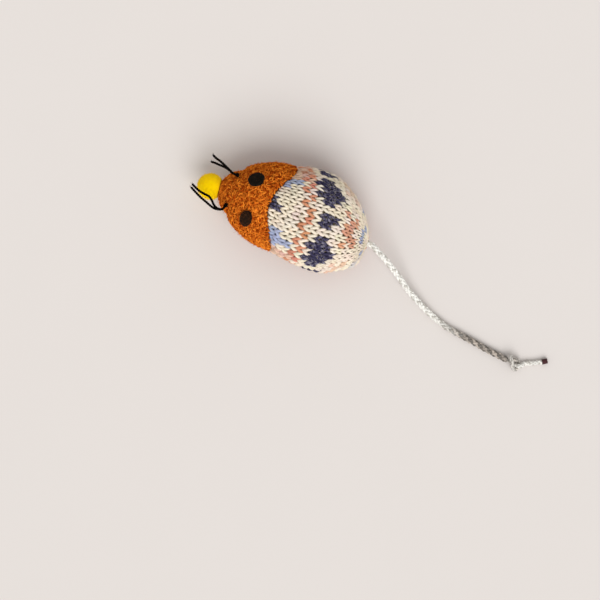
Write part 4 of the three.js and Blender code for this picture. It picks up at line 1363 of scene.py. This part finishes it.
class MOUSE_OT_stage(Operator):
    """Lay the pale floor, set the soft light and place the camera overhead"""

    bl_idname = "mouse.stage"
    bl_label = "Stage"

    def execute(self, context):
        stage, scene = context.scene.mouse_stage, context.scene
        right, above = np.array(CAMERA_RIGHT), np.array(CAMERA_UP)
        camera = bpy.data.objects.new("camera", bpy.data.cameras.new("camera"))
        scene.collection.objects.link(camera)
        camera.data.lens, camera.data.sensor_width = LENS, SENSOR
        camera.data.clip_start, camera.data.clip_end = 0.01, 100
        turn = Matrix((right, above, (0, 0, 1))).transposed().to_4x4()
        camera.matrix_world = Matrix.Translation(CAMERA_PLACE) @ turn
        scene.camera = camera
        angle = np.arange(96) / 96 * 2 * np.pi
        disc = FLOOR_RADIUS * np.stack([np.cos(angle), np.sin(angle), 0 * angle], -1)
        mesh = bpy.data.meshes.new("floor")
        mesh.from_pydata(disc.tolist(), [], [list(range(len(disc)))])
        mesh.update()
        mesh.materials.append(self.floor_finish(stage))
        floor = bpy.data.objects.new("floor", mesh)
        scene.collection.objects.link(floor)
        world = bpy.data.worlds.new("sky")
        scene.world = world
        world.use_nodes = True
        sky = {"Color": SKY_COLOUR, "Strength": stage.sky}
        set_inputs(world.node_tree, world.node_tree.nodes["Background"], sky)
        lamp = bpy.data.lights.new("key", "SUN")
        lamp.energy, lamp.angle = stage.key, math.radians(46)
        key = bpy.data.objects.new("key", lamp)
        scene.collection.objects.link(key)
        aim = unit(0.2 * right - 0.75 * above + np.array([0, 0, 1.0]))
        key.rotation_mode = "QUATERNION"
        key.rotation_quaternion = Vector(-aim).to_track_quat("-Z", "Y")
        scene.view_settings.view_transform = "Standard"
        return {"FINISHED"}

    @staticmethod
    def floor_finish(stage):
        """A pale matt floor with a faint mottle."""
        pale = bpy.data.materials.new("pale_floor")
        pale.use_nodes = True
        tree = pale.node_tree
        place = add_node(tree, "TexCoord", "Object")
        noise = add_node(tree, "TexNoise", "Fac", {"Vector": place, "Scale": 30})
        dimmed = [0.985 * c for c in stage.floor]
        pair = {"Factor": noise, "A": (*dimmed, 1), "B": (*stage.floor, 1)}
        mottled = add_node(tree, "Mix", "Result", pair, data_type="RGBA")
        looks = {"Base Color": mottled, "Roughness": 0.9, "Specular IOR Level": 0.1}
        set_inputs(tree, tree.nodes["Principled BSDF"], looks)
        return pale


class MOUSE_PT_panel(Panel):
    """The mouse's settings and steps in the sidebar"""

    bl_label = "Catnip Mouse"
    bl_idname = "MOUSE_PT_panel"
    bl_space_type = "VIEW_3D"
    bl_region_type = "UI"
    bl_category = "Catnip Mouse"

    def draw(self, context):
        for step in STEPS:
            self.layout.operator(step.bl_idname)
        for name, group in GROUPS.items():
            box = self.layout.box()
            settings = getattr(context.scene, name)
            for key in group.__annotations__:
                box.prop(settings, key)


GROUPS = {
    "mouse_knit": KnitSettings,
    "mouse_pile": PileSettings,
    "mouse_face": FaceSettings,
    "mouse_tail": TailSettings,
    "mouse_fill": FillSettings,
    "mouse_stage": StageSettings,
}
STEPS = [
    MOUSE_OT_stage,
    MOUSE_OT_tail,
    MOUSE_OT_stuff,
    MOUSE_OT_filling,
    MOUSE_OT_knit_back,
    MOUSE_OT_loop_covers,
    MOUSE_OT_seams,
    MOUSE_OT_face,
]


def register():
    """Registers the settings, the steps and the panel."""
    for name, group in GROUPS.items():
        bpy.utils.register_class(group)
        setattr(bpy.types.Scene, name, PointerProperty(type=group))
    for step in STEPS + [MOUSE_PT_panel]:
        bpy.utils.register_class(step)


def unregister():
    """Takes them out again."""
    for step in reversed(STEPS + [MOUSE_PT_panel]):
        bpy.utils.unregister_class(step)
    for name, group in reversed(list(GROUPS.items())):
        delattr(bpy.types.Scene, name)
        bpy.utils.unregister_class(group)


def main():
    """Builds the mouse step by step."""
    register()
    for step in STEPS:
        family, name = step.bl_idname.split(".")
        getattr(getattr(bpy.ops, family), name)()


if __name__ == "__main__":
    main()
